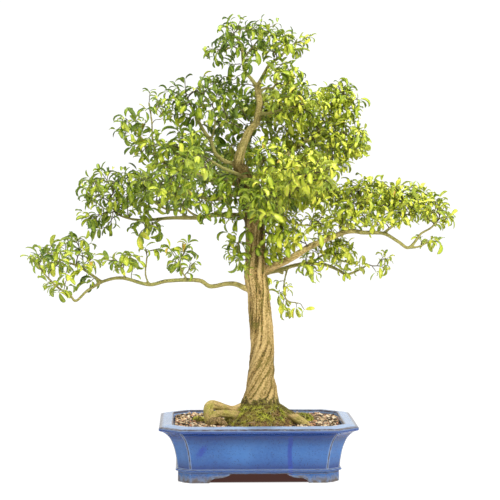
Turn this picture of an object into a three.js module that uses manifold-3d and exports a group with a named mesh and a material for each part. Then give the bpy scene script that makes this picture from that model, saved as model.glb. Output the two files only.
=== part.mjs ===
// Pomegranate bonsai in a glazed rectangular pot, in millimetres, +Z up, front towards -Y.
import * as THREE from 'three';
import { mergeVertices } from 'three/addons/utils/BufferGeometryUtils.js';
import Module from 'manifold-3d';

const wasm = await Module();
wasm.setup();

// Driving dimensions
const POT_HEIGHT = 112;
const POT_FLOOR_UNDERSIDE = 18;
const POT_FLOOR_TOP = 28;
const BASE_HALF_X = 158;
const BASE_HALF_Y = 115;
const RIM_HALF_X = 194;
const RIM_HALF_Y = 150;
const FOOT_HALF_X = 157;
const FOOT_HALF_Y = 114;
const FOOT_WALL = 14;
const FOOT_CORNER_CUT = 24;
const FRONT_ARCH = { groundHalf: 95, topHalf: 53 };
const SIDE_ARCH = { groundHalf: 60, topHalf: 22 };
const DRAIN_HOLE_X = 85;
const DRAIN_HOLE_RADIUS = 12;
const SOIL_TOP = 103;
const GRIT_TOP = 40;
const SCREEN_SIDE = 46;
const SCREEN_THICKNESS = 1.2;
const SCREEN_PITCH = 8.4;
const SCREEN_HOLE = 6.4;
const SCREEN_ROWS = 5;
const CLIP_WIRE_RADIUS = 0.9;
const CLIP_LEG_Y = 9.4;
const CLIP_FOOT_Y = 24;
const TIE_WIRE_RADIUS = 1.25;
// The tie wire passes each drain hole on the side nearer the middle of the pot
const TIE_HOLE_X = DRAIN_HOLE_X - 7;
const MOSS_THICKNESS = 5;

// Clearances between neighbours; tubes grow a little more, because their sides are flat
const GAP = 0.35;
const TUBE_GROWTH = 0.42;
const SPRAY_GAP = 0.5;

// The eye's distance from the trunk's plane, its height and its place sideways in the front view
const EYE_DISTANCE = 2500;
const EYE_HEIGHT = 447;
const EYE_X = -16;

const TRUNK_SIDES = 12;
const LIMB_SIDES = 6;
const WIRE_SIDES = 6;
const DRAIN_HOLE_SIDES = 24;
const MOUND_SIDES = 16;
const PATCH_SIDES = 12;

// Materials
const glaze = new THREE.MeshStandardMaterial({ color: 0x3f62a8, roughness: 0.18, metalness: 0 });
const bark = new THREE.MeshStandardMaterial({ color: 0xa88a52, roughness: 0.85, metalness: 0 });
const foliage = new THREE.MeshStandardMaterial({ color: 0x7d9c2b, roughness: 0.5, metalness: 0 });
const planting = new THREE.MeshStandardMaterial({ color: 0xa79377, roughness: 0.95, metalness: 0 });
const grit = new THREE.MeshStandardMaterial({ color: 0x8d8577, roughness: 0.95, metalness: 0 });
const moss = new THREE.MeshStandardMaterial({ color: 0x6c7a24, roughness: 0.95, metalness: 0 });
const plasticMesh = new THREE.MeshStandardMaterial({ color: 0x1d1f1e, roughness: 0.6, metalness: 0 });
const wire = new THREE.MeshStandardMaterial({ color: 0xb9bbbd, roughness: 0.35, metalness: 1 });

// Solids and geometry

function solidOf(geometry) {
  geometry.deleteAttribute('normal');
  geometry.deleteAttribute('uv');
  const merged = mergeVertices(geometry, 1e-4);
  return new wasm.Manifold(new wasm.Mesh({
    numProp: 3,
    vertProperties: new Float32Array(merged.attributes.position.array),
    triVerts: new Uint32Array(merged.index.array),
  }));
}

function geometryOf(solid) {
  const mesh = solid.getMesh();
  const geometry = new THREE.BufferGeometry();
  geometry.setAttribute('position', new THREE.BufferAttribute(mesh.vertProperties, 3));
  geometry.setIndex(new THREE.BufferAttribute(mesh.triVerts, 1));
  geometry.computeVertexNormals();
  return geometry;
}

function largestBody(solid) {
  const bodies = solid.decompose();
  return bodies.reduce((best, body) => (body.volume() > best.volume() ? body : best));
}

// Closed surface through rings of equal point count, each running anticlockwise seen from its far side
function loft(rings) {
  const count = rings[0].length;
  const points = rings.flat();
  const middle = (ring) => ring.reduce((sum, p) => sum.add(p), new THREE.Vector3()).divideScalar(count);
  const firstMiddle = points.length;
  const lastMiddle = points.length + 1;
  const lastRing = (rings.length - 1) * count;
  const faces = [];
  for (let i = 0; i < count; i += 1) {
    const next = (i + 1) % count;
    for (let ring = 0; ring < lastRing; ring += count) {
      faces.push(ring + i, ring + next, ring + count + next);
      faces.push(ring + i, ring + count + next, ring + count + i);
    }
    faces.push(firstMiddle, next, i);
    faces.push(lastMiddle, lastRing + i, lastRing + next);
  }
  const positions = [...points, middle(rings[0]), middle(rings.at(-1))].flatMap((p) => [p.x, p.y, p.z]);
  const geometry = new THREE.BufferGeometry();
  geometry.setAttribute('position', new THREE.Float32BufferAttribute(positions, 3));
  geometry.setIndex(faces);
  return solidOf(geometry);
}

function block(low, high) {
  const box = new THREE.BoxGeometry(high[0] - low[0], high[1] - low[1], high[2] - low[2]);
  box.translate((low[0] + high[0]) / 2, (low[1] + high[1]) / 2, (low[2] + high[2]) / 2);
  return solidOf(box);
}

function union(solids) {
  return wasm.Manifold.union(solids);
}

// Round tube through [x, y, z, radius] points, with one ring at each point
function tube(route, sides, growth = 0) {
  const places = route.map(([x, y, z]) => new THREE.Vector3(x, y, z));
  const last = places.length - 1;
  const tangents = places.map((place, i) => {
    const before = places[Math.max(i - 1, 0)];
    const after = places[Math.min(i + 1, last)];
    return after.clone().sub(before).normalize();
  });
  const side = new THREE.Vector3(0, 1, 0);
  if (Math.abs(tangents[0].y) > 0.8) side.set(1, 0, 0);
  const rings = places.map((place, i) => {
    side.addScaledVector(tangents[i], -side.dot(tangents[i])).normalize();
    const up = tangents[i].clone().cross(side);
    const centre = place.clone();
    if (i === 0) centre.addScaledVector(tangents[i], -growth);
    if (i === last) centre.addScaledVector(tangents[i], growth);
    const radius = route[i][3] + growth;
    return Array.from({ length: sides }, (_, k) => {
      const angle = (2 * Math.PI * k) / sides;
      return centre.clone()
        .addScaledVector(side, radius * Math.cos(angle))
        .addScaledVector(up, radius * Math.sin(angle));
    });
  });
  return loft(rings);
}

// Rectangle with its four corners cut at 45 degrees, at one height
function cutRectangle(halfX, halfY, cut, z) {
  const corners = [
    [halfX, -halfY + cut], [halfX, halfY - cut], [halfX - cut, halfY], [-halfX + cut, halfY],
    [-halfX, halfY - cut], [-halfX, -halfY + cut], [-halfX + cut, -halfY], [halfX - cut, -halfY],
  ];
  return corners.map(([x, y]) => new THREE.Vector3(x, y, z));
}

// Pot: a flared body with a broad lip, a moulded band and four feet left between arches

// Each row is a height, how far the wall stands out from the base outline, and the corner cut there
const WALL_PROFILE = [
  [POT_FLOOR_UNDERSIDE, -1, 24], [21, -1, 24], [22, 3, 25.5], [26, 3, 25.5], [27, 0, 25], [45, 2, 25.6],
  [64, 5.6, 26.6], [83, 12.5, 28.7], [92, 19, 31], [97, 24, 33],
];
const LIP_PROFILE = [
  [101.5, 3, 39.5], [103, 0, 41], [109, 0, 41], [110.5, 1.5, 40.5], [POT_HEIGHT, 11, 37],
];
const INNER_PROFILE = [
  [POT_FLOOR_TOP, 148, 105, 20], [34, 150, 107, 21], [64, 154.5, 111.5, 23], [95, 162, 119, 27],
  [104, 165, 121.5, 29.5], [POT_HEIGHT + 1, 167.5, 123.5, 31],
];

function potInside(shrink, low, high) {
  const at = (z) => {
    const upper = Math.max(INNER_PROFILE.findIndex((row) => row[0] >= z), 1);
    const [a, b] = [INNER_PROFILE[upper - 1], INNER_PROFILE[upper]];
    const share = (z - a[0]) / (b[0] - a[0]);
    const [, halfX, halfY, cut] = a.map((value, i) => THREE.MathUtils.lerp(value, b[i], share));
    return cutRectangle(halfX - shrink, halfY - shrink, cut, z);
  };
  const between = INNER_PROFILE.map((row) => row[0]).filter((z) => z > low && z < high);
  return loft([low, ...between, high].map(at));
}

// Outline of the arch between two feet: half widths at the ground and at the floor, stepped like a cloud.
// It reaches a little below the ground and above the feet, so that it cuts cleanly through both.
function archOutline(groundHalf, topHalf) {
  const steps = [[1, -1], [0.96, 5], [0.8, 8.5], [0.56, 9.5], [0.36, 10.5], [0.14, 14],
    [0, POT_FLOOR_UNDERSIDE + 0.5]];
  const right = steps.map(([share, z]) => [topHalf + (groundHalf - topHalf) * share, z]);
  const left = right.map(([x, z]) => [-x, z]).reverse();
  return [...right, ...left];
}

function arch({ groundHalf, topHalf }, reach, turn) {
  const outline = archOutline(groundHalf, topHalf).map(([x, z]) => new THREE.Vector2(x, z));
  const options = { depth: 2 * reach, bevelEnabled: false };
  const prism = new THREE.ExtrudeGeometry(new THREE.Shape(outline), options);
  prism.translate(0, 0, -reach);
  prism.rotateX(Math.PI / 2);
  prism.rotateZ(turn);
  return solidOf(prism);
}

function drainHole(x) {
  const length = 2 * (POT_FLOOR_TOP - POT_FLOOR_UNDERSIDE);
  const drill = new THREE.CylinderGeometry(DRAIN_HOLE_RADIUS, DRAIN_HOLE_RADIUS, length, DRAIN_HOLE_SIDES);
  drill.rotateX(Math.PI / 2);
  drill.translate(x, 0, (POT_FLOOR_UNDERSIDE + POT_FLOOR_TOP) / 2);
  return solidOf(drill);
}

function makePot() {
  const wall = WALL_PROFILE.map(([z, out, cut]) => (
    cutRectangle(BASE_HALF_X + out, BASE_HALF_Y + out, cut, z)));
  const lip = LIP_PROFILE.map(([z, inset, cut]) => (
    cutRectangle(RIM_HALF_X - inset, RIM_HALF_Y - inset, cut, z)));
  const footBlock = (inset, cut, bottom) => loft([bottom, POT_FLOOR_UNDERSIDE + 1].map((z) => (
    cutRectangle(FOOT_HALF_X - inset, FOOT_HALF_Y - inset, cut, z))));
  const feet = footBlock(0, FOOT_CORNER_CUT, 0)
    .subtract(footBlock(FOOT_WALL, FOOT_CORNER_CUT * 0.75, -1))
    .subtract(arch(FRONT_ARCH, RIM_HALF_Y, 0))
    .subtract(arch(SIDE_ARCH, RIM_HALF_X, Math.PI / 2));
  return loft([...wall, ...lip])
    .subtract(potInside(0, POT_FLOOR_TOP, POT_HEIGHT + 1))
    .add(feet)
    .subtract(drainHole(-DRAIN_HOLE_X))
    .subtract(drainHole(DRAIN_HOLE_X));
}

// Drainage hardware inside the pot

const SCREEN_Z = POT_FLOOR_TOP + GAP;

function makeScreen(x) {
  const half = SCREEN_SIDE / 2;
  const reach = SCREEN_HOLE / 2;
  const offsets = Array.from({ length: SCREEN_ROWS }, (_, k) => (k - (SCREEN_ROWS - 1) / 2) * SCREEN_PITCH);
  const holes = offsets.flatMap((u) => offsets.map((v) => block(
    [x + u - reach, v - reach, SCREEN_Z - 1],
    [x + u + reach, v + reach, SCREEN_Z + SCREEN_THICKNESS + 1],
  )));
  const plate = block([x - half, -half, SCREEN_Z], [x + half, half, SCREEN_Z + SCREEN_THICKNESS]);
  return plate.subtract(union(holes));
}

// The clip's two legs come down through the drain hole and bend outwards under the floor
function clipRoute(x) {
  const over = SCREEN_Z + SCREEN_THICKNESS + CLIP_WIRE_RADIUS + GAP;
  const under = POT_FLOOR_UNDERSIDE - CLIP_WIRE_RADIUS - GAP;
  const bend = 2;
  const side = [[CLIP_FOOT_Y, under], [CLIP_LEG_Y + bend, under], [CLIP_LEG_Y, under + bend],
    [CLIP_LEG_Y, over - bend], [CLIP_LEG_Y - bend, over]];
  const right = side.map(([y, z]) => [x, y, z, CLIP_WIRE_RADIUS]);
  const left = side.map(([y, z]) => [x, -y, z, CLIP_WIRE_RADIUS]).reverse();
  return [...right, ...left];
}

function makeClip(x, growth = 0) {
  return tube(clipRoute(x), WIRE_SIDES, growth);
}

// The tie wire runs under the floor, up through both drain holes and over the buried root crown
function makeTieWire(growth = 0) {
  const under = POT_FLOOR_UNDERSIDE - TIE_WIRE_RADIUS - GAP;
  const bend = 4;
  const half = [[3, -50, 78], [30, -40, 70], [62, -16, 56], [TIE_HOLE_X, 0, GRIT_TOP + bend],
    [TIE_HOLE_X, 0, under + bend], [TIE_HOLE_X - bend, 0, under]];
  const right = half.map(([x, y, z]) => [x, y, z, TIE_WIRE_RADIUS]);
  const left = half.map(([x, y, z]) => [-x, y, z, TIE_WIRE_RADIUS]).reverse();
  return tube([...right, ...left], WIRE_SIDES, growth);
}

// Wood: one grown piece of roots, trunk, leader and branches

// Moves a place seen in the front view at the trunk's plane along the line of sight to its real depth
function atDepth(x, z, y) {
  const share = 1 + y / EYE_DISTANCE;
  return [EYE_X + (x - EYE_X) * share, y, EYE_HEIGHT + (z - EYE_HEIGHT) * share];
}

function routeOf(points) {
  return points.map(([x, z, y, radius]) => [...atDepth(x, z, y), radius]);
}

// Every point is x and z in the front view, then the depth y and the radius
const TRUNK = [
  [7, 72, 0, 40], [7, 88, 0, 50], [7, 104, 0, 53], [7, 118, 0, 49], [7, 130, 0, 42], [7, 142, 0, 37.5],
  [8, 169, 0, 31], [7, 191, 0, 27.5], [9, 214, 0, 25.5], [11, 249, 0, 24], [9, 283, 0, 22.7],
  [5, 329, 0, 22], [3, 364, 0, 21.5], [-3, 398, 0, 22], [-3, 430, 0, 20.5], [-3.5, 467, 0, 19.5],
  [-5, 500, 0, 19.8], [-8, 532, 0, 20.5], [-12, 561, 0, 20.5], [-17, 582, 0, 18.5], [-27, 600, 0, 15],
  [-36, 612, 0, 12], [-37, 622, 0, 10.5], [-32, 643, 0, 9], [-24, 665, 0, 8.3], [-15, 684, 0, 7.8],
  [-2, 699, 0, 7.4], [2, 719, 0, 7], [5, 733, 0, 6.6], [2, 759, 0, 6.2], [0, 775, 0, 6],
];
const ROOTS = {
  loop: [[-8, 138, -4, 15], [-31, 133, -10, 9], [-49, 128, -20, 8], [-63, 132, -28, 7.4],
    [-77, 137, -35, 7.6], [-90, 140, -41, 8.6], [-97, 136, -46, 9.4], [-99, 126, -49, 9.6],
    [-98, 112, -50, 9.6], [-94, 92, -48, 9]],
  loopReturn: [[-96, 106, -52, 8.6], [-86, 117, -56, 6.6], [-72, 121, -54, 6.4], [-56, 121, -46, 7.4],
    [-34, 116, -34, 11], [-10, 108, -20, 14]],
  loopFoot: [[-100, 98, -56, 10], [-92, 105, -68, 9.6], [-80, 109, -76, 9.2], [-68, 106, -78, 8.8],
    [-58, 96, -76, 8]],
  right: [[18, 138, -8, 16], [42, 136, -16, 11], [52, 129, -24, 8.6], [66, 118, -36, 8],
    [82, 108, -48, 7.6], [95, 101, -58, 7], [106, 90, -64, 6]],
  backRight: [[20, 128, 20, 15], [40, 118, 44, 12], [58, 104, 66, 9], [70, 90, 80, 6]],
  backLeft: [[-6, 128, 20, 15], [-28, 118, 42, 11], [-48, 104, 62, 8.5], [-60, 90, 74, 6]],
};
const LIMBS = {
  lowerLeft: [[-6, 366, 0, 8], [-24, 371, -2, 6.6], [-42, 379, -4, 6], [-61, 380, -7, 5.6],
    [-93, 375, -12, 5.4], [-112, 386, -14, 5.4], [-139, 388, -16, 5.2], [-181, 386, -18, 4.8],
    [-216, 379, -18, 4.6], [-262, 391, -14, 4.4], [-286, 391, -10, 4.2], [-313, 383, -6, 4]],
  lowerLeftHigh: [[-309, 384, -6, 4], [-338, 405, 2, 3.4], [-353, 415, 14, 3], [-374, 422, 28, 2.6],
    [-404, 434, 36, 2]],
  lowerLeftLow: [[-309, 384, -6, 4], [-338, 367, -14, 3.4], [-361, 347, -22, 3.2], [-374, 359, -28, 3],
    [-399, 375, -34, 2.6], [-420, 396, -38, 2.2], [-439, 420, -40, 1.8]],
  lowerLeftShootOuter: [[-262, 390, -14, 3.4], [-268, 410, -28, 2.4], [-262, 430, -40, 1.8]],
  lowerLeftShootMid: [[-216, 380, -18, 3.4], [-222, 400, -8, 2.6], [-218, 436, 6, 1.8]],
  lowerLeftShootInner: [[-139, 388, -16, 3.4], [-150, 405, -30, 2.4], [-158, 430, -42, 1.8]],
  leftSecond: [[-8, 506, 0, 8], [-30, 514, 4, 6.6], [-49, 516, 8, 6.2], [-86, 516, 14, 5.8],
    [-112, 511, 18, 5.4], [-139, 510, 22, 5], [-164, 510, 25, 4.6], [-189, 508, 28, 4.2],
    [-219, 505, 30, 3.6], [-250, 508, 32, 3], [-275, 518, 36, 2.4], [-292, 540, 40, 1.8]],
  leftSecondFork: [[-136, 510, 22, 4], [-154, 524, 32, 3.4], [-177, 526, 46, 3], [-200, 538, 60, 2.4],
    [-216, 554, 70, 1.8]],
  leftSecondFront: [[-112, 511, 18, 4], [-126, 518, -10, 3.2], [-140, 530, -42, 2.6],
    [-146, 550, -62, 2]],
  leftSecondLow: [[-189, 508, 28, 3.4], [-204, 499, 14, 2.6], [-218, 493, 2, 1.8]],
  leftThird: [[-10, 556, 0, 8], [-45, 558, -14, 5.6], [-86, 549, -34, 5], [-105, 552, -46, 4.6],
    [-135, 562, -66, 4], [-165, 578, -88, 3.2], [-188, 590, -104, 2.4]],
  upperLeftLow: [[-18, 574, 0, 9], [-48, 580, 8, 6.5], [-76, 584, 14, 6], [-97, 586, 18, 5.6],
    [-141, 606, 26, 5], [-167, 606, 30, 4.6], [-197, 632, 34, 4], [-215, 641, 38, 3.6],
    [-225, 664, 40, 3], [-244, 684, 42, 2.2]],
  upperLeftShoot: [[-197, 632, 34, 3.2], [-206, 665, 20, 2.6], [-208, 700, 10, 2.2],
    [-214, 740, 4, 1.8]],
  upperLeftLowFork: [[-141, 606, 26, 3.6], [-150, 626, 2, 2.8], [-156, 650, -14, 2]],
  upperLeft: [[-28, 603, 0, 9], [-45, 617, 6, 6], [-65, 623, 14, 5.4], [-82, 638, 22, 5],
    [-91, 662, 30, 4.8], [-106, 684, 36, 4.4], [-113, 697, 40, 4.2], [-124, 720, 44, 3.2],
    [-136, 745, 46, 2.2]],
  upperLeftInner: [[-91, 662, 30, 3.6], [-84, 684, 26, 2.8], [-82, 710, 22, 2]],
  rightMain: [[4, 400, 0, 10], [17, 408, -6, 8.8], [51, 423, -18, 8.2], [78, 438, -26, 7.6],
    [103, 454, -32, 7.2], [128, 465, -36, 6.8], [151, 475, -38, 6.4], [174, 484, -38, 6],
    [193, 486, -36, 5.6], [212, 483, -34, 5.2], [252, 481, -30, 4.6], [281, 465, -26, 4.2],
    [302, 452, -24, 4], [319, 469, -26, 3.4], [328, 481, -28, 3], [347, 492, -32, 2.6],
    [362, 508, -36, 2]],
  rightMainSide: [[302, 452, -24, 3.4], [323, 454, -16, 2.6], [344, 464, -8, 1.8]],
  rightMainNear: [[174, 484, -38, 4], [185, 505, -30, 3.2], [200, 530, -16, 2.6], [208, 554, -4, 2]],
  rightMainFar: [[252, 481, -30, 3.8], [269, 494, -18, 3.2], [288, 506, -4, 2.8], [296, 526, 8, 2.4],
    [288, 545, 14, 1.8]],
  rightLower: [[4, 397, 0, 9], [24, 403, 14, 6.4], [45, 406, 26, 5.6], [72, 414, 38, 5],
    [98, 418, 48, 4.8], [127, 417, 56, 4.4], [147, 412, 60, 4.2], [164, 404, 62, 3.8],
    [180, 396, 64, 3.4], [206, 406, 68, 2.8], [222, 416, 72, 2.2]],
  rightLowerFork: [[110, 418, 51, 3.6], [127, 432, 44, 3], [145, 442, 36, 2.4], [162, 452, 28, 1.8]],
  rightLowerStub: [[42, 406, 24, 4.6], [53, 399, 27, 4]],
  rightLowerHanging: [[62, 411, 33, 2.6], [56, 388, 30, 2.2], [54, 368, 26, 1.9], [60, 346, 24, 1.6],
    [84, 340, 22, 1.4]],
  rightMid: [[4, 524, -2, 9], [26, 542, -14, 6], [43, 549, -20, 5.4], [59, 561, -26, 4.8],
    [78, 572, -32, 4.4], [100, 586, -40, 3.4], [118, 594, -46, 2.4]],
  rightMidLow: [[26, 540, -14, 4.2], [44, 524, -24, 3.4], [66, 504, -34, 2.8], [92, 498, -40, 2.4],
    [114, 498, -42, 1.8]],
  rightMidFront: [[59, 561, -26, 4], [70, 574, -70, 3.4], [86, 588, -118, 2.8], [96, 600, -158, 2]],
  rightUpper: [[-14, 584, 0, 10], [10, 600, 14, 6], [42, 622, 26, 5.4], [75, 645, 34, 4.8],
    [108, 668, 38, 4.2], [138, 692, 40, 3.4], [158, 715, 40, 2.8], [166, 740, 38, 2]],
  rightUpperLow: [[108, 668, 38, 3.6], [140, 666, 26, 3], [168, 662, 12, 2.4], [188, 664, 4, 1.8]],
  rightUpperHigh: [[2, 717, 0, 5.4], [24, 720, -16, 4.4], [48, 727, -30, 3.6], [76, 735, -42, 2.6]],
  topLeft: [[0, 770, 0, 5.4], [-11, 786, -4, 4.6], [-25, 804, -8, 4.2], [-29, 831, -10, 3.8],
    [-31, 854, -10, 3.2], [-44, 870, -8, 2.2]],
  topMiddle: [[-29, 826, -10, 3], [-14, 842, -2, 2.4], [2, 862, 4, 1.8]],
  topRight: [[0, 770, 0, 5.4], [16, 799, 8, 4.2], [25, 813, 12, 4], [43, 827, 18, 3.4],
    [60, 842, 22, 2.4]],
  topRightLow: [[2, 757, 0, 4.6], [14, 767, -4, 3.4], [32, 770, -10, 2.8], [40, 788, -14, 2]],
  frontMid: [[2, 512, -6, 8], [6, 530, -44, 5], [9, 546, -82, 4], [12, 562, -116, 2.8]],
  frontHigh: [[-14, 576, -6, 8], [-6, 596, -30, 4.4], [4, 614, -54, 3.4], [10, 628, -74, 2.4]],
  frontLeft: [[-20, 588, -4, 8], [-45, 602, -50, 5], [-72, 616, -98, 4], [-96, 632, -140, 2.8]],
  hangingLeft: [[-10, 486, -6, 5], [-28, 482, -24, 2.8], [-38, 462, -32, 2.2], [-38, 442, -32, 1.6]],
  backLeft: [[-10, 556, 4, 8], [-34, 570, 58, 6], [-62, 582, 112, 5], [-88, 596, 166, 4],
    [-104, 612, 214, 2.6]],
  backRight: [[2, 496, 4, 8], [20, 512, 58, 6], [45, 526, 112, 5], [68, 540, 168, 4],
    [84, 554, 218, 2.6]],
  backTop: [[-18, 672, 2, 6.4], [-4, 690, 44, 4.4], [10, 706, 82, 3.6], [20, 724, 116, 2.6]],
};

function makeWood(growth = 0) {
  const trunk = tube(routeOf(TRUNK), TRUNK_SIDES, growth);
  const branches = [...Object.values(ROOTS), ...Object.values(LIMBS)];
  return union([trunk, ...branches.map((points) => tube(routeOf(points), LIMB_SIDES, growth))]);
}

// Foliage: each spray is a rounded cloud of leaves round the ends of its branch

// Every lobe is x and z in the front view, the depth y, then its half width, half height and half depth
const SPRAYS = {
  leaves_lower_left_tip: [[-396, 431, 2, 80, 42, 74], [-452, 420, -30, 30, 22, 34],
    [-356, 464, 14, 36, 24, 40], [-398, 386, -34, 42, 26, 32]],
  leaves_lower_left_mid: [[-266, 425, -24, 42, 26, 50], [-214, 438, -4, 44, 24, 54],
    [-154, 432, -30, 38, 36, 42]],
  leaves_left_second_tip: [[-286, 566, 30, 70, 42, 70], [-308, 512, 26, 32, 34, 36]],
  leaves_left_second_mid: [[-212, 560, 66, 66, 40, 58], [-146, 566, 50, 48, 36, 52]],
  leaves_left_second_low: [[-216, 491, -4, 40, 20, 40]],
  leaves_left_second_front: [[-146, 556, -56, 44, 32, 42]],
  leaves_left_third: [[-186, 588, -112, 64, 34, 56]],
  leaves_upper_left_tip: [[-246, 690, 34, 42, 30, 44], [-220, 650, 14, 34, 28, 40],
    [-206, 730, 4, 36, 42, 38]],
  leaves_upper_left_low: [[-154, 656, -16, 70, 42, 56], [-180, 622, -10, 32, 24, 34]],
  leaves_upper_left_high: [[-138, 738, 44, 58, 48, 56]],
  leaves_upper_left_inner: [[-84, 724, -6, 40, 50, 44]],
  leaves_apex_left: [[-52, 874, -8, 44, 30, 44], [-64, 838, -6, 40, 32, 42],
    [-26, 820, -24, 36, 28, 34]],
  leaves_apex_middle: [[10, 868, 8, 50, 40, 50]],
  leaves_apex_right: [[58, 854, 30, 48, 26, 42], [88, 858, 26, 30, 16, 28]],
  leaves_apex_low: [[54, 796, -14, 44, 30, 42]],
  leaves_right_upper_high: [[84, 738, -30, 62, 44, 56]],
  leaves_right_upper_tip: [[166, 738, 36, 44, 44, 52]],
  leaves_right_upper_mid: [[104, 668, 62, 84, 50, 54]],
  leaves_right_upper_low: [[178, 668, -4, 46, 46, 50], [148, 634, -20, 46, 34, 42]],
  leaves_right_mid: [[84, 598, -34, 70, 36, 44], [118, 566, -24, 40, 34, 40]],
  leaves_right_mid_low: [[58, 488, -44, 44, 34, 40], [122, 498, -36, 40, 28, 38]],
  leaves_right_front: [[96, 608, -158, 62, 42, 54]],
  leaves_front_middle: [[12, 562, -128, 42, 54, 50]],
  leaves_front_high: [[10, 634, -84, 48, 40, 44]],
  leaves_front_left: [[-94, 642, -158, 62, 38, 56]],
  leaves_right_main_near: [[204, 557, 0, 60, 36, 60], [176, 518, -34, 44, 28, 40]],
  leaves_right_main_far: [[280, 548, 16, 56, 36, 56]],
  leaves_right_main_tip: [[336, 536, -34, 42, 32, 44], [366, 518, -36, 28, 26, 34]],
  leaves_right_main_drop: [[344, 466, -6, 22, 18, 26]],
  leaves_right_lower_near: [[150, 450, 34, 48, 26, 44], [134, 404, 52, 24, 20, 28]],
  leaves_right_lower_tip: [[232, 421, 74, 38, 26, 42], [176, 414, 62, 26, 20, 32]],
  leaves_right_hanging: [[50, 372, 28, 22, 18, 22], [62, 340, 24, 24, 22, 24],
    [94, 340, 20, 18, 20, 20]],
  leaves_left_hanging: [[-40, 440, -36, 24, 36, 26]],
  leaves_back_left: [[-104, 618, 206, 82, 42, 72]],
  leaves_back_right: [[84, 558, 214, 80, 42, 76]],
  leaves_back_top: [[24, 732, 124, 66, 44, 56]],
};

function lobe([x, z, y, halfWidth, halfHeight, halfDepth], growth) {
  const ball = new THREE.IcosahedronGeometry(1, 1);
  ball.scale(halfWidth + growth, halfDepth + growth, halfHeight + growth);
  ball.translate(...atDepth(x, z, y));
  return solidOf(ball);
}

function cloud(lobes, growth = 0) {
  return union(lobes.map((one) => lobe(one, growth)));
}

function makeSprays(woodRoom) {
  const made = {};
  let taken = woodRoom;
  for (const [name, lobes] of Object.entries(SPRAYS)) {
    made[name] = largestBody(cloud(lobes).subtract(taken));
    taken = taken.add(cloud(lobes, SPRAY_GAP));
  }
  return made;
}

// Soil, grit and moss

const MOUND_CENTRE = [6, -10];
const MOUND_RINGS = [[98, 72, 104], [106, 64, 96], [114, 55, 72], [122, 47, 56], [130, 38, 42],
  [134, 30, 34]];

function mound(growth) {
  return loft(MOUND_RINGS.map(([z, halfX, halfY]) => Array.from({ length: MOUND_SIDES }, (_, k) => {
    const angle = (2 * Math.PI * k) / MOUND_SIDES;
    const x = MOUND_CENTRE[0] + (halfX + growth) * Math.cos(angle);
    const y = MOUND_CENTRE[1] + (halfY + growth) * Math.sin(angle);
    return new THREE.Vector3(x, y, z + growth);
  })));
}

function makeGrit(hardware) {
  return potInside(GAP, POT_FLOOR_TOP + GAP, GRIT_TOP).subtract(hardware);
}

function makeSoil(woodRoom, hardware) {
  const bed = potInside(GAP, GRIT_TOP + GAP, SOIL_TOP).add(mound(0));
  return largestBody(bed.subtract(woodRoom).subtract(hardware));
}

function makeMossMound(woodRoom) {
  const insideRim = RIM_HALF_Y - 31;
  const aboveSoil = block([-RIM_HALF_X, -insideRim, SOIL_TOP + GAP],
    [RIM_HALF_X, insideRim, 2 * SOIL_TOP]);
  return largestBody(mound(MOSS_THICKNESS).intersect(aboveSoil).subtract(mound(GAP)).subtract(woodRoom));
}

function makeMossPatch(centre, half, height, keepOut) {
  const base = SOIL_TOP + GAP;
  const rings = [[0, 1], [0.5, 0.86], [0.85, 0.55], [1, 0.2]].map(([rise, spread]) => (
    Array.from({ length: PATCH_SIDES }, (_, k) => {
      const angle = (2 * Math.PI * k) / PATCH_SIDES;
      const x = centre[0] + half[0] * spread * Math.cos(angle);
      const y = centre[1] + half[1] * spread * Math.sin(angle);
      return new THREE.Vector3(x, y, base + height * rise);
    })));
  return largestBody(loft(rings).subtract(keepOut));
}

// Assembly

const bonsai = new THREE.Group();

function place(name, solid, material) {
  const piece = new THREE.Mesh(geometryOf(solid), material);
  piece.name = name;
  bonsai.add(piece);
}

const woodRoom = makeWood(TUBE_GROWTH);
const wireRoom = makeTieWire(TUBE_GROWTH);
const screenRoom = [-DRAIN_HOLE_X, DRAIN_HOLE_X].map((x) => {
  const half = SCREEN_SIDE / 2 + GAP;
  const clipTop = SCREEN_Z + SCREEN_THICKNESS + 2 * (CLIP_WIRE_RADIUS + GAP);
  return block([x - half, -half, POT_FLOOR_TOP - 2], [x + half, half, clipTop + GAP]);
});
const hardwareRoom = union([wireRoom, ...screenRoom]);
const mossRoom = union([woodRoom, mound(MOSS_THICKNESS + GAP)]);

place('pot', makePot(), glaze);
place('drainage_screen_left', makeScreen(-DRAIN_HOLE_X), plasticMesh);
place('drainage_screen_right', makeScreen(DRAIN_HOLE_X), plasticMesh);
place('screen_clip_left', makeClip(-DRAIN_HOLE_X), wire);
place('screen_clip_right', makeClip(DRAIN_HOLE_X), wire);
place('anchor_wire', makeTieWire(), wire);
place('drainage_layer', makeGrit(hardwareRoom), grit);
place('soil', makeSoil(woodRoom, hardwareRoom), planting);
place('moss_mound', makeMossMound(woodRoom), moss);
place('moss_patch_left', makeMossPatch([-116, 16], [14, 36], 6, mossRoom), moss);
place('moss_patch_right', makeMossPatch([88, 14], [28, 34], 14, mossRoom), moss);
place('trunk_and_branches', makeWood(), bark);
for (const [name, solid] of Object.entries(makeSprays(woodRoom))) {
  place(name, solid, foliage);
}

// The origin goes to the middle of the whole tree's box, on the ground
const bounds = new THREE.Box3().setFromObject(bonsai, true);
const middle = bounds.getCenter(new THREE.Vector3());
bonsai.position.set(-middle.x, -middle.y, -bounds.min.z);

export default bonsai;
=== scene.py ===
import logging
import math
from collections.abc import Iterable, Sequence
from dataclasses import dataclass, field
from enum import Enum
from typing import NamedTuple

import bmesh
import bpy
import numpy as np
from bpy.types import Material, Mesh, Node, NodeSocket, NodeTree, Object
from mathutils import Matrix, Quaternion, Vector, noise
from mathutils.bvhtree import BVHTree
from mathutils.geometry import tessellate_polygon
from numpy.random import Generator, default_rng


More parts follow.
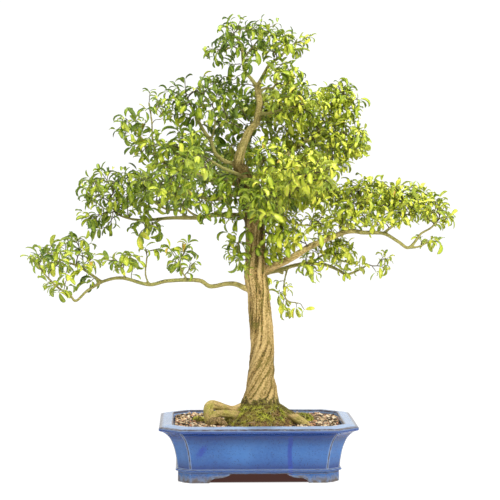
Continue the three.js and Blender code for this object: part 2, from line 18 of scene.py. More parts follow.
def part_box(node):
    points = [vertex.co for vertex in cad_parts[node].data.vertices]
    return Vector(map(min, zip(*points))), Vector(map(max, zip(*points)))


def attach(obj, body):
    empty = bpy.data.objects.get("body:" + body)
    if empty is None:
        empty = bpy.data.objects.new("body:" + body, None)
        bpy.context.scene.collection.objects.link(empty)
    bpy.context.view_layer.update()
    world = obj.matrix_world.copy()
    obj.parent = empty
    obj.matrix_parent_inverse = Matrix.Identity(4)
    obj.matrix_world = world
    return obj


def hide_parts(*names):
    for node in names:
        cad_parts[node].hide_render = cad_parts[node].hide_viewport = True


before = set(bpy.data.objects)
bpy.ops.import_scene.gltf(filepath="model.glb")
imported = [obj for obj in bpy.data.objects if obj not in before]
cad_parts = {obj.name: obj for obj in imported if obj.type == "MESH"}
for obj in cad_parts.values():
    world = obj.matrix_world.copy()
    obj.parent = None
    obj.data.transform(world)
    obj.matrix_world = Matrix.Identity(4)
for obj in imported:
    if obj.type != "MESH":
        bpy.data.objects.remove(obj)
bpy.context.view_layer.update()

log = logging.getLogger("bonsai")

Array = np.ndarray
Colour = tuple[float, float, float, float]
Shades = tuple[tuple[float, Colour], ...]
Route = tuple[tuple[float, float, float, float], ...]
Face = tuple[int, ...]

MM = 0.001
UP = np.array([0.0, 0.0, 1.0])


def srgb(red: int, green: int, blue: int) -> Colour:
    """Gives the linear colour of three display values from 0 to 255."""
    shares = (value / 255 for value in (red, green, blue))
    linear = (share / 12.92 if share <= 0.04045 else ((share + 0.055) / 1.055) ** 2.4 for share in shares)
    return (*linear, 1.0)


def unit(vectors: Array) -> Array:
    """Scales one vector, or each row of several, to length one."""
    return vectors / np.maximum(np.linalg.norm(vectors, axis=-1, keepdims=True), 1e-12)


def smoothstep(values: Array | float, low: float, high: float) -> Array | float:
    """Rises smoothly from 0 at low to 1 at high."""
    share = np.clip((values - low) / (high - low), 0.0, 1.0)
    return share * share * (3 - 2 * share)


# Meshes

def mesh_object(name: str, points: Sequence, faces: Sequence[Face] = (), edges: Sequence = ()) -> Object:
    """Makes an object at the origin and links it to the scene.

    Args:
        name: the object's name.
        points: the places of its vertices.
        faces: its faces, anticlockwise seen from outside.
        edges: loose edges, for a mesh that only carries lines.

    Returns:
        The object.
    """
    mesh = bpy.data.meshes.new(name)
    mesh.from_pydata([tuple(point) for point in points], list(edges), list(faces))
    mesh.update()
    made = bpy.data.objects.new(name, mesh)
    bpy.context.scene.collection.objects.link(made)
    return made


def ring_faces(first: int, sides: int, rings: int) -> list[Face]:
    """Gives the faces between rings of points that lie one after the other, from the first point on."""
    return [(ring + k, ring + (k + 1) % sides, ring + sides + (k + 1) % sides, ring + sides + k)
            for ring in range(first, first + (rings - 1) * sides, sides) for k in range(sides)]


def set_attribute(mesh: Mesh, name: str, values: Array, kind: str = "FLOAT", domain: str = "POINT") -> None:
    """Stores one value for each element of a mesh.

    Args:
        mesh: the mesh.
        name: the attribute's name, as materials and node trees read it.
        values: one row for each element.
        kind: the attribute's type.
        domain: the elements that carry it.
    """
    attribute = mesh.attributes.new(name, kind, domain)
    key = "vector" if kind == "FLOAT_VECTOR" else "value"
    dtype = np.int32 if kind == "INT" else np.float32
    attribute.data.foreach_set(key, np.ascontiguousarray(values, dtype).ravel())


def vertex_places(mesh: Mesh) -> Array:
    """Gives the places of a mesh's vertices, one row each."""
    places = np.empty(len(mesh.vertices) * 3, np.float32)
    mesh.vertices.foreach_get("co", places)
    return places.reshape(-1, 3).astype(float)


def vertex_normals(mesh: Mesh) -> Array:
    """Gives the normals of a mesh's vertices, one row each."""
    normals = np.empty(len(mesh.vertices) * 3, np.float32)
    mesh.vertex_normals.foreach_get("vector", normals)
    return normals.reshape(-1, 3).astype(float)


def move_vertices(mesh: Mesh, places: Array) -> None:
    """Puts a mesh's vertices at new places."""
    mesh.vertices.foreach_set("co", places.astype(np.float32).ravel())
    mesh.update()


def merged_node(node: str) -> tuple[Array, list[Face]]:
    """Reads a CAD node's mesh, its loose triangles joined at their corners.

    Args:
        node: the CAD node.

    Returns:
        Its points and its faces.
    """
    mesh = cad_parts[node].data
    points, joined = np.unique(np.round(vertex_places(mesh), 6), axis=0, return_inverse=True)
    joined = joined.ravel()
    faces = [tuple(int(joined[v]) for v in face.vertices) for face in mesh.polygons]
    return points, [face for face in faces if len(set(face)) == len(face)]


def baked(carrier: Object, name: str) -> Object:
    """Turns an object with live modifiers into a plain mesh object.

    Args:
        carrier: the object whose modifiers are worked out. It is removed.
        name: the new object's name.

    Returns:
        The plain mesh object.
    """
    graph = bpy.context.evaluated_depsgraph_get()
    graph.update()
    mesh = bpy.data.meshes.new_from_object(
        carrier.evaluated_get(graph), preserve_all_data_layers=True, depsgraph=graph)
    bpy.data.objects.remove(carrier)
    made = bpy.data.objects.new(name, mesh)
    mesh.name = name
    bpy.context.scene.collection.objects.link(made)
    return made


def remeshed(carrier: Object, name: str, voxel: float, smoothing: int) -> Object:
    """Joins an object's overlapping shells into one even skin.

    Args:
        carrier: the object with the shells. It is removed.
        name: the new object's name.
        voxel: the skin's grid size.
        smoothing: how many rounds of smoothing follow.

    Returns:
        The skin, a plain closed mesh.
    """
    skin = carrier.modifiers.new("skin", "REMESH")
    skin.mode = "VOXEL"
    skin.voxel_size = voxel
    soften = carrier.modifiers.new("soften", "SMOOTH")
    soften.factor = 0.5
    soften.iterations = smoothing
    return baked(carrier, name)


def seat(piece: Object, replaced: Iterable[str] = (), material: Material | None = None) -> None:
    """Hands a finished piece to the frame, smooth-shaded and on the one body that the tree has.

    Args:
        piece: the piece, with its place in its mesh.
        replaced: the CAD nodes that it stands for.
        material: its finish, where it has none yet.
    """
    if material is not None:
        piece.data.materials.append(material)
    faces = piece.data.polygons
    faces.foreach_set("use_smooth", np.ones(len(faces), bool))
    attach(piece, "root")
    if replaced:
        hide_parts(*replaced)
    log.info("%s: %d triangles", piece.name, sum(face.loop_total - 2 for face in faces))


# Node trees

class Graph:
    """A node tree that is being built, with short ways to add and link nodes."""

    def __init__(self, tree: NodeTree) -> None:
        """Starts on an existing tree."""
        self.tree = tree

    def feed(self, socket: NodeSocket, value: object) -> None:
        """Links a socket to another one, or sets its value."""
        if isinstance(value, NodeSocket):
            self.tree.links.new(value, socket)
        else:
            socket.default_value = value

    def add(self, kind: str, inputs: dict | None = None, **settings: object) -> Node:
        """Adds a node.

        Args:
            kind: the node's type.
            inputs: a value or a socket for each named or numbered input.
            settings: the node's own properties.

        Returns:
            The node.
        """
        node = self.tree.nodes.new(kind)
        for name, value in settings.items():
            setattr(node, name, value)
        for key, value in (inputs or {}).items():
            self.feed(node.inputs[key], value)
        return node


class GeometryTree(Graph):
    """A geometry node tree with named inputs, which ends in realized and dressed geometry."""

    def __init__(self, name: str, sizes: Sequence[str] = ()) -> None:
        """Makes the tree and its sockets.

        Args:
            name: the tree's name.
            sizes: the names of its plain number inputs.
        """
        super().__init__(bpy.data.node_groups.new(name, "GeometryNodeTree"))
        sockets = self.tree.interface
        sockets.new_socket("Geometry", in_out="INPUT", socket_type="NodeSocketGeometry")
        sockets.new_socket("Geometry", in_out="OUTPUT", socket_type="NodeSocketGeometry")
        self.entry = self.tree.nodes.new("NodeGroupInput")
        self.exit = self.tree.nodes.new("NodeGroupOutput")
        self.material = self.named_input("Material", "NodeSocketMaterial")
        self.sizes = [self.named_input(size, "NodeSocketFloat") for size in sizes]

    def named_input(self, name: str, kind: str) -> NodeSocket:
        """Adds an input and gives the socket that brings it into the tree."""
        self.tree.interface.new_socket(name, in_out="INPUT", socket_type=kind)
        return self.entry.outputs[name]

    def attribute(self, name: str, kind: str) -> NodeSocket:
        """Reads an attribute of the points that the tree works on."""
        return self.add("GeometryNodeInputNamedAttribute", {"Name": name}, data_type=kind).outputs[0]

    def random(self, low: object, high: object, seed: object, kind: str = "FLOAT") -> NodeSocket:
        """Adds a random value between two limits for each element."""
        first, output = (0, 0) if kind == "FLOAT_VECTOR" else (2, 1)
        return self.add("FunctionNodeRandomValue", {first: low, first + 1: high, "Seed": seed},
                        data_type=kind).outputs[output]

    def shelf(self) -> NodeSocket:
        """Adds an input for a collection of forms and gives its members."""
        forms = self.named_input("Forms", "NodeSocketCollection")
        return self.add("GeometryNodeCollectionInfo", {
            "Collection": forms, "Separate Children": True, "Reset Children": True}).outputs[0]

    def close(self, geometry: NodeSocket) -> None:
        """Ends the tree: instances become mesh, and the mesh takes the material."""
        realized = self.add("GeometryNodeRealizeInstances", {"Geometry": geometry}).outputs[0]
        dressed = self.add("GeometryNodeSetMaterial", {"Geometry": realized, "Material": self.material})
        self.feed(self.exit.inputs["Geometry"], dressed.outputs[0])

    def grow(self, carrier: Object, name: str, values: dict[str, object]) -> Object:
        """Runs the tree on an object.

        Args:
            carrier: the object that the tree starts from. It is removed.
            name: the new piece's name.
            values: a value for each named input.

        Returns:
            The piece, a plain mesh object.
        """
        modifier = carrier.modifiers.new(self.tree.name, "NODES")
        modifier.node_group = self.tree
        for item in self.tree.interface.items_tree:
            if item.item_type == "SOCKET" and item.in_out == "INPUT" and item.name in values:
                modifier[item.identifier] = values[item.name]
        return baked(carrier, name)


class FormShelf:
    """A collection of small forms that a geometry tree picks its instances from."""

    def __init__(self, name: str, forms: Iterable[Object]) -> None:
        """Moves the forms from the scene into a collection of their own."""
        self.collection = bpy.data.collections.new(name)
        self.forms = list(forms)
        for form in self.forms:
            bpy.context.scene.collection.objects.unlink(form)
            self.collection.objects.link(form)

    def clear(self) -> None:
        """Removes the forms once every piece that uses them is made."""
        for form in self.forms:
            bpy.data.objects.remove(form)
        bpy.data.collections.remove(self.collection)


class ScatterTree(GeometryTree):
    """Strews forms over a surface, each turned, sized and sunk at random."""

    def __init__(self) -> None:
        """Builds the tree."""
        super().__init__("strew_over_surface", ("Spacing", "Smallest", "Largest", "Tumble", "Sink"))
        spacing, smallest, largest, tumble, sink = self.sizes
        seed = self.named_input("Seed", "NodeSocketInt")
        sown = self.add("GeometryNodeDistributePointsOnFaces", {
            "Mesh": self.entry.outputs["Geometry"], "Distance Min": spacing, "Density Max": 1e6,
            "Density Factor": self.attribute("cover", "FLOAT"), "Seed": seed}, distribute_method="POISSON")
        drop = self.random((0.0, 0.0, -1.0), (0.0, 0.0, 0.25), seed, "FLOAT_VECTOR")
        depth = self.add("ShaderNodeVectorMath", {0: drop, "Scale": sink}, operation="SCALE").outputs[0]
        laid = self.add("GeometryNodeSetPosition", {"Geometry": sown.outputs["Points"], "Offset": depth})
        lean = self.random((-1.0, -1.0, -math.pi), (1.0, 1.0, math.pi), seed, "FLOAT_VECTOR")
        reach = self.add("ShaderNodeCombineXYZ", {"X": tumble, "Y": tumble, "Z": 1.0}).outputs[0]
        angles = self.add("ShaderNodeVectorMath", {0: lean, 1: reach}, operation="MULTIPLY").outputs[0]
        spin = self.add("FunctionNodeEulerToRotation", {"Euler": angles}).outputs[0]
        turn = self.add("FunctionNodeRotateRotation", {
            "Rotation": sown.outputs["Rotation"], "Rotate By": spin}, rotation_space="LOCAL")
        placed = self.add("GeometryNodeInstanceOnPoints", {
            "Points": laid.outputs[0], "Instance": self.shelf(), "Pick Instance": True,
            "Rotation": turn.outputs[0], "Scale": self.random(smallest, largest, seed)})
        toned = self.add("GeometryNodeStoreNamedAttribute", {
            "Geometry": placed.outputs[0], "Name": "tone", "Value": self.random(0.0, 1.0, 7),
        }, data_type="FLOAT", domain="INSTANCE")
        self.close(toned.outputs[0])


class TwigTree(GeometryTree):
    """Sweeps a small round section along lines whose points carry their thickness."""

    def __init__(self) -> None:
        """Builds the tree."""
        super().__init__("sweep_twigs")
        sides = self.named_input("Sides", "NodeSocketInt")
        line = self.add("GeometryNodeMeshToCurve", {"Mesh": self.entry.outputs["Geometry"]})
        section = self.add("GeometryNodeCurvePrimitiveCircle", {"Resolution": sides, "Radius": 1.0})
        swept = self.add("GeometryNodeCurveToMesh", {
            "Curve": line.outputs[0], "Profile Curve": section.outputs["Curve"],
            "Scale": self.attribute("thickness", "FLOAT"), "Fill Caps": True})
        self.close(swept.outputs[0])


class LeafTree(GeometryTree):
    """Hangs a leaf at each point, turned, sized and chosen by the point's own attributes."""

    def __init__(self) -> None:
        """Builds the tree."""
        super().__init__("hang_leaves")
        placed = self.add("GeometryNodeInstanceOnPoints", {
            "Points": self.entry.outputs["Geometry"], "Instance": self.shelf(), "Pick Instance": True,
            "Instance Index": self.attribute("form", "INT"), "Rotation": self.attribute("turn", "QUATERNION"),
            "Scale": self.attribute("size", "FLOAT")})
        self.close(placed.outputs[0])


class ShaderGraph(Graph):
    """A material's nodes or a shader group's nodes, with the steps that the finishes share."""

    def calc(self, operation: str, first: object, second: object = 0.0, third: object = 0.0,
             clamp: bool = False) -> NodeSocket:
        """Adds a sum of up to three values."""
        return self.add("ShaderNodeMath", {0: first, 1: second, 2: third}, operation=operation,
                        use_clamp=clamp).outputs[0]

    def times(self, first: object, second: object, clamp: bool = False) -> NodeSocket:
        """Multiplies two values."""
        return self.calc("MULTIPLY", first, second, clamp=clamp)

    def plus(self, value: object, factor: object, more: object) -> NodeSocket:
        """Gives the value times the factor, plus more."""
        return self.calc("MULTIPLY_ADD", value, factor, more)

    def remap(self, value: object, low: float, high: float, to_low: float = 0.0,
              to_high: float = 1.0) -> NodeSocket:
        """Maps a value from one range to another, smoothly and without going past its ends."""
        return self.add("ShaderNodeMapRange", {0: value, 1: low, 2: high, 3: to_low, 4: to_high},
                        interpolation_type="SMOOTHSTEP").outputs[0]

    def blend(self, share: object, first: object, second: object, mode: str = "MIX") -> NodeSocket:
        """Mixes two colours."""
        return self.add("ShaderNodeMix", {0: share, 6: first, 7: second}, data_type="RGBA",
                        blend_type=mode).outputs[2]

    def ramp(self, value: object, stops: Shades) -> NodeSocket:
        """Turns a value into a colour.

        Args:
            value: the value, from 0 to 1.
            stops: a row of values with their colours.

        Returns:
            The colour.
        """
        node = self.add("ShaderNodeValToRGB", {0: value})
        elements = node.color_ramp.elements
        while len(elements) < len(stops):
            elements.new(1.0)
        for element, (place, colour) in zip(elements, stops):
            element.position = place
            element.color = colour
        return node.outputs["Color"]

    def grain(self, place: object, scale: float, detail: float = 2.0, roughness: float = 0.5) -> NodeSocket:
        """Adds noise around 0.5."""
        return self.add("ShaderNodeTexNoise", {"Vector": place, "Scale": scale, "Detail": detail,
                                               "Roughness": roughness}).outputs[0]

    def attribute(self, name: str, output: str = "Fac") -> NodeSocket:
        """Reads an attribute that the mesh carries."""
        return self.add("ShaderNodeAttribute", attribute_name=name).outputs[output]

    def place(self) -> NodeSocket:
        """Gives the place on the piece, in its own metres."""
        return self.add("ShaderNodeTexCoord").outputs["Object"]

    def axes(self, place: object) -> bpy.types.NodeOutputs:
        """Takes a place apart into its X, Y and Z."""
        return self.add("ShaderNodeSeparateXYZ", {0: place}).outputs

    def bump(self, height: object, strength: float, distance: float) -> NodeSocket:
        """Turns a height into a normal."""
        return self.add("ShaderNodeBump", {"Height": height, "Strength": strength,
                                           "Distance": distance}).outputs[0]

    def group(self, source: "ShaderGroup", **values: object) -> NodeSocket:
        """Places a shader group with its own values and gives its first output."""
        node = self.add("ShaderNodeGroup", node_tree=source.tree)
        for name, value in values.items():
            self.feed(node.inputs[name.capitalize()], value)
        return node.outputs[0]


class ShaderGroup(ShaderGraph):
    """A shader effect that several finishes use, with named inputs and a mask as its output."""

    def __init__(self, name: str, inputs: dict[str, float | None]) -> None:
        """Makes the group's sockets.

        Args:
            name: the group's name.
            inputs: a value for each input, or None for one that takes a vector.
        """
        super().__init__(bpy.data.node_groups.new(name, "ShaderNodeTree"))
        for key, value in inputs.items():
            kind = "NodeSocketVector" if value is None else "NodeSocketFloat"
            socket = self.tree.interface.new_socket(key, in_out="INPUT", socket_type=kind)
            if value is not None:
                socket.default_value = value
        self.tree.interface.new_socket("Mask", in_out="OUTPUT", socket_type="NodeSocketFloat")
        self.entry = self.tree.nodes.new("NodeGroupInput").outputs
        self.exit = self.tree.nodes.new("NodeGroupOutput").inputs


class Mottle(ShaderGroup):
    """Soft blotches: a mask that is 0 where noise lies under Low and 1 where it passes High."""

    def __init__(self) -> None:
        """Builds the group."""
        super().__init__("mottle", {"Place": None, "Scale": 50.0, "Detail": 3.0, "Low": 0.4, "High": 0.6})
        cloud = self.grain(self.entry["Place"], self.entry["Scale"], self.entry["Detail"], 0.55)
        self.feed(self.exit["Mask"], self.remap(cloud, self.entry["Low"], self.entry["High"]))


class Specks(ShaderGroup):
    """Small round specks: a mask that is 1 inside each speck."""

    def __init__(self) -> None:
        """Builds the group."""
        super().__init__("specks", {"Place": None, "Scale": 400.0, "Size": 0.25})
        place = self.entry["Place"]
        wobble = self.add("ShaderNodeTexNoise", {"Vector": place, "Scale": 900.0, "Detail": 1.0})
        moved = self.add("ShaderNodeVectorMath", {0: wobble.outputs["Color"], "Scale": 1.2 * MM},
                         operation="SCALE").outputs[0]
        place = self.add("ShaderNodeVectorMath", {0: place, 1: moved}, operation="ADD").outputs[0]
        cells = self.add("ShaderNodeTexVoronoi", {"Vector": place, "Scale": self.entry["Scale"]}).outputs
        shade = self.add("ShaderNodeSeparateColor", {0: cells["Color"]}).outputs[0]
        keep = self.calc("GREATER_THAN", shade, 0.55)
        edge = self.calc("SUBTRACT", self.entry["Size"], cells["Distance"])
        self.feed(self.exit["Mask"], self.times(self.times(edge, 9.0, clamp=True), keep))


# Finishes

class MaterialGraph(ShaderGraph):
    """A material's own nodes round its principled shader."""

    def __init__(self, name: str, roughness: float, specular: float = 0.5, metallic: float = 0.0) -> None:
        """Makes the material.

        Args:
            name: the material's name.
            roughness: the shader's plain roughness.
            specular: its plain specular level.
            metallic: 1 for bare metal.
        """
        self.material = bpy.data.materials.new(name)
        self.material.use_nodes = True
        super().__init__(self.material.node_tree)
        self.shader = self.tree.nodes["Principled BSDF"]
        plain = {"Roughness": roughness, "Specular IOR Level": specular, "Metallic": metallic}
        for key, value in plain.items():
            self.shader.inputs[key].default_value = value

    def patches(self, mottle: Mottle, scale: float, detail: float, low: float, high: float) -> NodeSocket:
        """Places the soft blotches, evenly over the piece."""
        return self.group(mottle, place=self.place(), scale=scale, detail=detail, low=low, high=high)

    def dress(self, colour: object, normal: object, roughness: object | None = None) -> Material:
        """Feeds the shader and gives the material.

        Args:
            colour: the base colour.
            normal: the bumped normal.
            roughness: the roughness where it varies.

        Returns:
            The material.
        """
        self.feed(self.shader.inputs["Base Color"], colour)
        self.feed(self.shader.inputs["Normal"], normal)
        if roughness is not None:
            self.feed(self.shader.inputs["Roughness"], roughness)
        return self.material


@dataclass(frozen=True)
class Glaze:
    """Cobalt glaze: mottled, finely speckled, pale and brownish where it thins over an edge, the pale partly
    a painted highlight, and deeper where it pools, partly painted shade.
    """

    mottle: Mottle
    specks: Specks
    middle: Vector
    deep: Colour = srgb(25, 70, 136)
    light: Colour = srgb(63, 119, 182)
    # Deep blue of pooled glaze, also used as painted shade on and under the lip, around the band and on the
    # inner wall.
    pooled_and_shaded: Colour = srgb(16, 42, 110)
    run: Colour = srgb(24, 54, 150)
    speck: Colour = srgb(22, 38, 78)
    # Pale glaze where it breaks over an edge, also a painted highlight along the corners and on the rim's
    # top.
    pale_edge_and_highlight: Colour = srgb(180, 202, 226)
    thin: Colour = srgb(64, 58, 70)
    clay: Colour = srgb(98, 88, 82)
    streak_x: float = 60 * MM
    smudge_x: float = -111 * MM
    smudge_z: float = 62 * MM

    def build(self) -> Material:
        """Makes the material."""
        graph = MaterialGraph("cobalt_glaze", 0.16, specular=0.7)
        place = graph.place()
        stretched = graph.add("ShaderNodeMapping", {"Vector": place, "Scale": (1.0, 1.0, 0.32)}).outputs[0]
        broad = graph.group(self.mottle, place=stretched, scale=11.0, detail=3.0, low=0.3, high=0.7)
        fine = graph.patches(self.mottle, 230.0, 3.0, 0.36, 0.66)
        patchy = graph.patches(self.mottle, 120.0, 4.0, 0.3, 0.7)
        dots = graph.group(self.specks, place=place, scale=330.0, size=0.36)
        edge = graph.attribute("edge")
        body = graph.blend(graph.plus(broad, 0.55, 0.24), self.deep, self.light)
        body = graph.blend(graph.times(fine, 0.3), body, self.light)
        # Pooled glaze, and painted shade where the profile marks it: on and under the lip, around the band
        # and on the inner wall.
        body = graph.blend(graph.times(graph.attribute("pool_and_shade"), 0.85, clamp=True), body, self.pooled_and_shaded)
        body = graph.blend(self.runs(graph, place), body, self.run)
        body = graph.blend(graph.times(dots, 0.6), body, self.speck)
        # Pale where the glaze thins, partly a painted highlight along the corner edges and on the rim's top.
        body = graph.blend(graph.times(graph.remap(edge, 0.05, 0.3), 0.42), body, self.pale_edge_and_highlight)
        thin = graph.times(graph.remap(edge, 0.42, 0.68), graph.plus(patchy, 0.5, 0.7), clamp=True)
        body = graph.blend(thin, body, self.thin)
        bare = graph.times(graph.attribute("bare"), graph.calc("ADD", patchy, 0.35), clamp=True)
        gloss = graph.remap(fine, 0.0, 1.0, 0.1, 0.2)
        relief = graph.plus(dots, -0.4, graph.grain(place, 55.0))
        return graph.dress(graph.blend(bare, body, self.clay), graph.bump(relief, 0.25, 1.2 * MM),
                           graph.plus(bare, 0.4, gloss))

    def runs(self, graph: ShaderGraph, place: NodeSocket) -> NodeSocket:
        """Masks the one long run and the one smudge in the front's glaze.

        Args:
            graph: the material's graph.
            place: the place on the piece.

        Returns:
            The mask, 0 where the glaze is even.
        """
        x, y, z = graph.axes(place)
        wander = graph.plus(graph.grain(place, 30.0), 12 * MM, -6 * MM)
        side = graph.calc("ADD", graph.calc("SUBTRACT", x, self.middle.x + self.streak_x), wander)
        width = graph.remap(graph.calc("ABSOLUTE", side), 6 * MM, 2 * MM)
        front = graph.remap(y, self.middle.y - 60 * MM, self.middle.y - 100 * MM)
        streak = graph.times(graph.times(width, graph.remap(z, 98 * MM, 82 * MM)), 0.8)
        rise = graph.calc("SUBTRACT", z, self.smudge_z)
        slant = graph.plus(rise, -0.55, graph.calc("SUBTRACT", x, self.middle.x + self.smudge_x))
        spread = graph.calc("ADD", graph.calc("POWER", graph.times(slant, 95.0), 2.0),
                            graph.calc("POWER", graph.times(rise, 55.0), 2.0))
        ragged = graph.plus(graph.grain(place, 160.0, 3.0), 1.1, spread)
        smudge = graph.times(graph.remap(ragged, 1.4, 0.55), 0.85)
        return graph.times(graph.calc("MAXIMUM", streak, smudge), front)


@dataclass(frozen=True)
class Bark:
    """Golden, granular bark whose fibres follow the wood's own twist, dark in the grooves and pale on the
    ridges, partly as painted shade and highlight.
    """

    mottle: Mottle
    # Ridge, body and groove colours run from pale to dark with the relief: partly the bark's own colour,
    # partly a painted highlight and painted shade.
    ridge: Colour = srgb(222, 192, 128)
    body: Colour = srgb(168, 138, 78)
    groove: Colour = srgb(72, 56, 24)
    olive: Colour = srgb(132, 122, 52)
    young: Colour = srgb(150, 150, 80)
    # Painted shade up the trunk's leader, under the crown.
    leader_shade: Colour = srgb(96, 76, 40)
    moss: Colour = srgb(118, 118, 36)
    soot: Colour = srgb(50, 42, 22)
    root: Colour = srgb(214, 186, 124)
    green_root: Colour = srgb(178, 176, 76)
    litter: Colour = srgb(172, 142, 98)

    def build(self) -> Material:
        """Makes the material."""
        graph = MaterialGraph("golden_bark", 0.86, specular=0.25)
        grain = graph.attribute("grain", "Vector")
        fibres = graph.grain(grain, 520.0, 5.0, 0.6)
        strands = graph.grain(grain, 160.0, 3.0, 0.5)
        crumbs = graph.patches(self.mottle, 330.0, 2.0, 0.4, 0.6)
        patches = graph.patches(self.mottle, 38.0, 4.0, 0.42, 0.66)
        clumps = graph.patches(self.mottle, 110.0, 4.0, 0.4, 0.6)
        specked = graph.patches(self.mottle, 240.0, 3.0, 0.42, 0.6)
        lift = graph.plus(graph.attribute("relief"), 0.7, graph.times(fibres, 0.7))
        lift = graph.remap(graph.plus(crumbs, 0.28, graph.plus(strands, 0.6, lift)), 0.62, 1.68)
        # Dark in the grooves and pale on the ridges: partly the bark's own colour, partly painted shade in
        # the grooves and a painted highlight on the ridges.
        bark = graph.ramp(lift, ((0.0, self.groove), (0.45, self.body), (1.0, self.ridge)))
        hollows = graph.times(graph.remap(lift, 0.75, 0.3), patches)
        bark = graph.blend(graph.times(hollows, 0.6), bark, self.olive)
        green = graph.times(graph.attribute("slim"), graph.plus(patches, 0.2, 0.78))
        bark = graph.blend(green, bark, self.young)
        # Painted shade: darker up the leader, under the crown, where the trunk is thick.
        leader_shade = graph.times(graph.attribute("leader_shade"), graph.calc("ADD", patches, 0.5), clamp=True)
        bark = graph.blend(graph.times(leader_shade, 0.75), bark, self.leader_shade)
        rooty = graph.times(graph.attribute("rooty"), graph.remap(lift, 0.1, 0.7, 0.15, 0.8))
        bark = graph.blend(rooty, bark, graph.blend(patches, self.root, self.green_root))
        sunk = graph.plus(lift, -0.5, graph.plus(clumps, 0.4, 0.45))
        moss = graph.remap(graph.calc("ADD", sunk, graph.attribute("moss")), 0.6, 1.0)
        bark = graph.blend(graph.times(moss, 0.85), bark, graph.blend(specked, self.soot, self.moss))
        fibrous = graph.times(graph.attribute("fibrous"), graph.remap(fibres, 0.35, 0.6, 0.4, 1.0))
        bark = graph.blend(fibrous, bark, graph.blend(specked, self.groove, self.litter))
        height = graph.plus(fibres, 0.9, graph.times(crumbs, 0.8))
        return graph.dress(bark, graph.bump(height, 0.85, 2.2 * MM))


@dataclass(frozen=True)
class TwigSkin:
    """Thin twigs: green and smooth while young, grey-brown once thicker."""

    mottle: Mottle
    young: Colour = srgb(112, 112, 50)
    woody: Colour = srgb(78, 62, 40)

    def build(self) -> Material:
        """Makes the material."""
        graph = MaterialGraph("twig_skin", 0.7)
        age = graph.plus(graph.patches(self.mottle, 120.0, 3.0, 0.35, 0.65), 0.35, graph.attribute("age"))
        return graph.dress(graph.blend(graph.remap(age, 0.1, 0.8), self.young, self.woody),
                           graph.bump(graph.grain(graph.place(), 900.0), 0.4, 0.5 * MM))


@dataclass(frozen=True)
class LeafBlade:
    """Fresh leaf: a paler midrib and veins, margins darkened as painted shade, a duller underside, and light
    that comes through.
    """

    mottle: Mottle
    shades: Shades = (
        (0.0, srgb(56, 84, 14)), (0.3, srgb(114, 140, 24)), (0.6, srgb(178, 192, 42)),
        (0.9, srgb(222, 224, 78)), (0.97, srgb(228, 214, 76)), (1.0, srgb(222, 172, 76)))
    rib: Colour = srgb(206, 214, 120)
    under: Colour = srgb(158, 180, 92)
    glow: Colour = srgb(176, 214, 50)
    see_through: float = 0.2
    veins: float = 62.0

    def build(self) -> Material:
        """Makes the material."""
        graph = MaterialGraph("leaf_blade", 0.4, specular=0.35)
        across, along, _ = graph.axes(graph.add("ShaderNodeUVMap", uv_map="leaf_uv").outputs[0])
        half = graph.calc("ABSOLUTE", graph.calc("SUBTRACT", across, 0.5))
        blotch = graph.patches(self.mottle, 90.0, 2.0, 0.3, 0.7)
        tone = graph.plus(blotch, 0.08, graph.attribute("tone"))
        # Painted shade: darker towards the margins, slightly paler along the middle.
        tone = graph.calc("ADD", tone, graph.remap(half, 0.1, 0.5, 0.04, -0.24))
        blade = graph.ramp(tone, self.shades)
        lines = graph.calc("SINE", graph.times(graph.plus(half, -0.35, along), self.veins))
        veins = graph.times(graph.remap(lines, 0.8, 1.0), 0.16)
        rib = graph.calc("MAXIMUM", veins, graph.times(graph.remap(half, 0.045, 0.02), 0.5))
        blade = graph.blend(rib, blade, self.rib)
        blade = graph.blend(graph.times(graph.attribute("under"), 0.4), blade, self.under)
        through = graph.add("ShaderNodeBsdfTranslucent", {"Color": graph.blend(0.55, blade, self.glow)})
        mixed = graph.add("ShaderNodeMixShader", {0: self.see_through, 1: graph.shader.outputs[0],
                                                  2: through.outputs[0]})
        graph.feed(graph.tree.nodes["Material Output"].inputs["Surface"], mixed.outputs[0])
        return graph.dress(blade, graph.bump(graph.times(rib, -1.0), 0.35, 0.6 * MM))


@dataclass(frozen=True)
class MossPile:
    """Moss: yellow-green cushions, dark and brown between them."""

    mottle: Mottle
    bright: Colour = srgb(222, 224, 92)
    green: Colour = srgb(134, 136, 38)
    shadow: Colour = srgb(26, 22, 10)
    dead: Colour = srgb(136, 106, 68)

    def build(self) -> Material:
        """Makes the material."""
        graph = MaterialGraph("moss_pile", 0.95, specular=0.15)
        clumps = graph.grain(graph.place(), 85.0, 4.0, 0.6)
        fine = graph.grain(graph.place(), 210.0, 3.0, 0.6)
        value = graph.plus(clumps, 1.5, graph.times(fine, 2.0))
        value = graph.plus(graph.attribute("tone"), 0.9, value)
        pile = graph.ramp(graph.remap(value, 1.74, 2.4),
                          ((0.0, self.shadow), (0.45, self.green), (1.0, self.bright)))
        dry = graph.calc("ADD", graph.patches(self.mottle, 46.0, 4.0, 0.44, 0.6), graph.attribute("worn"))
        worn = graph.times(dry, graph.remap(fine, 0.3, 0.6, 0.3, 0.8), clamp=True)
        return graph.dress(graph.blend(worn, pile, self.dead), graph.bump(fine, 0.9, 1.8 * MM))


@dataclass(frozen=True)
class StoneMix:
    """Mineral grains, each with a shade of its own."""

    mottle: Mottle
    shades: Shades = (
        (0.0, srgb(40, 30, 20)), (0.28, srgb(84, 64, 42)), (0.38, srgb(206, 176, 130)),
        (0.56, srgb(252, 236, 204)), (0.72, srgb(216, 180, 128)), (0.84, srgb(200, 140, 106)),
        (1.0, srgb(138, 126, 106)))
    dust: Colour = srgb(226, 210, 184)

    def build(self) -> Material:
        """Makes the material."""
        graph = MaterialGraph("planting_grains", 0.93, specular=0.2)
        stone = graph.ramp(graph.attribute("tone"), self.shades)
        pale = graph.times(graph.patches(self.mottle, 480.0, 3.0, 0.45, 0.7), 0.35)
        return graph.dress(graph.blend(pale, stone, self.dust),
                           graph.bump(graph.grain(graph.place(), 1500.0, 3.0), 0.6, 0.8 * MM))


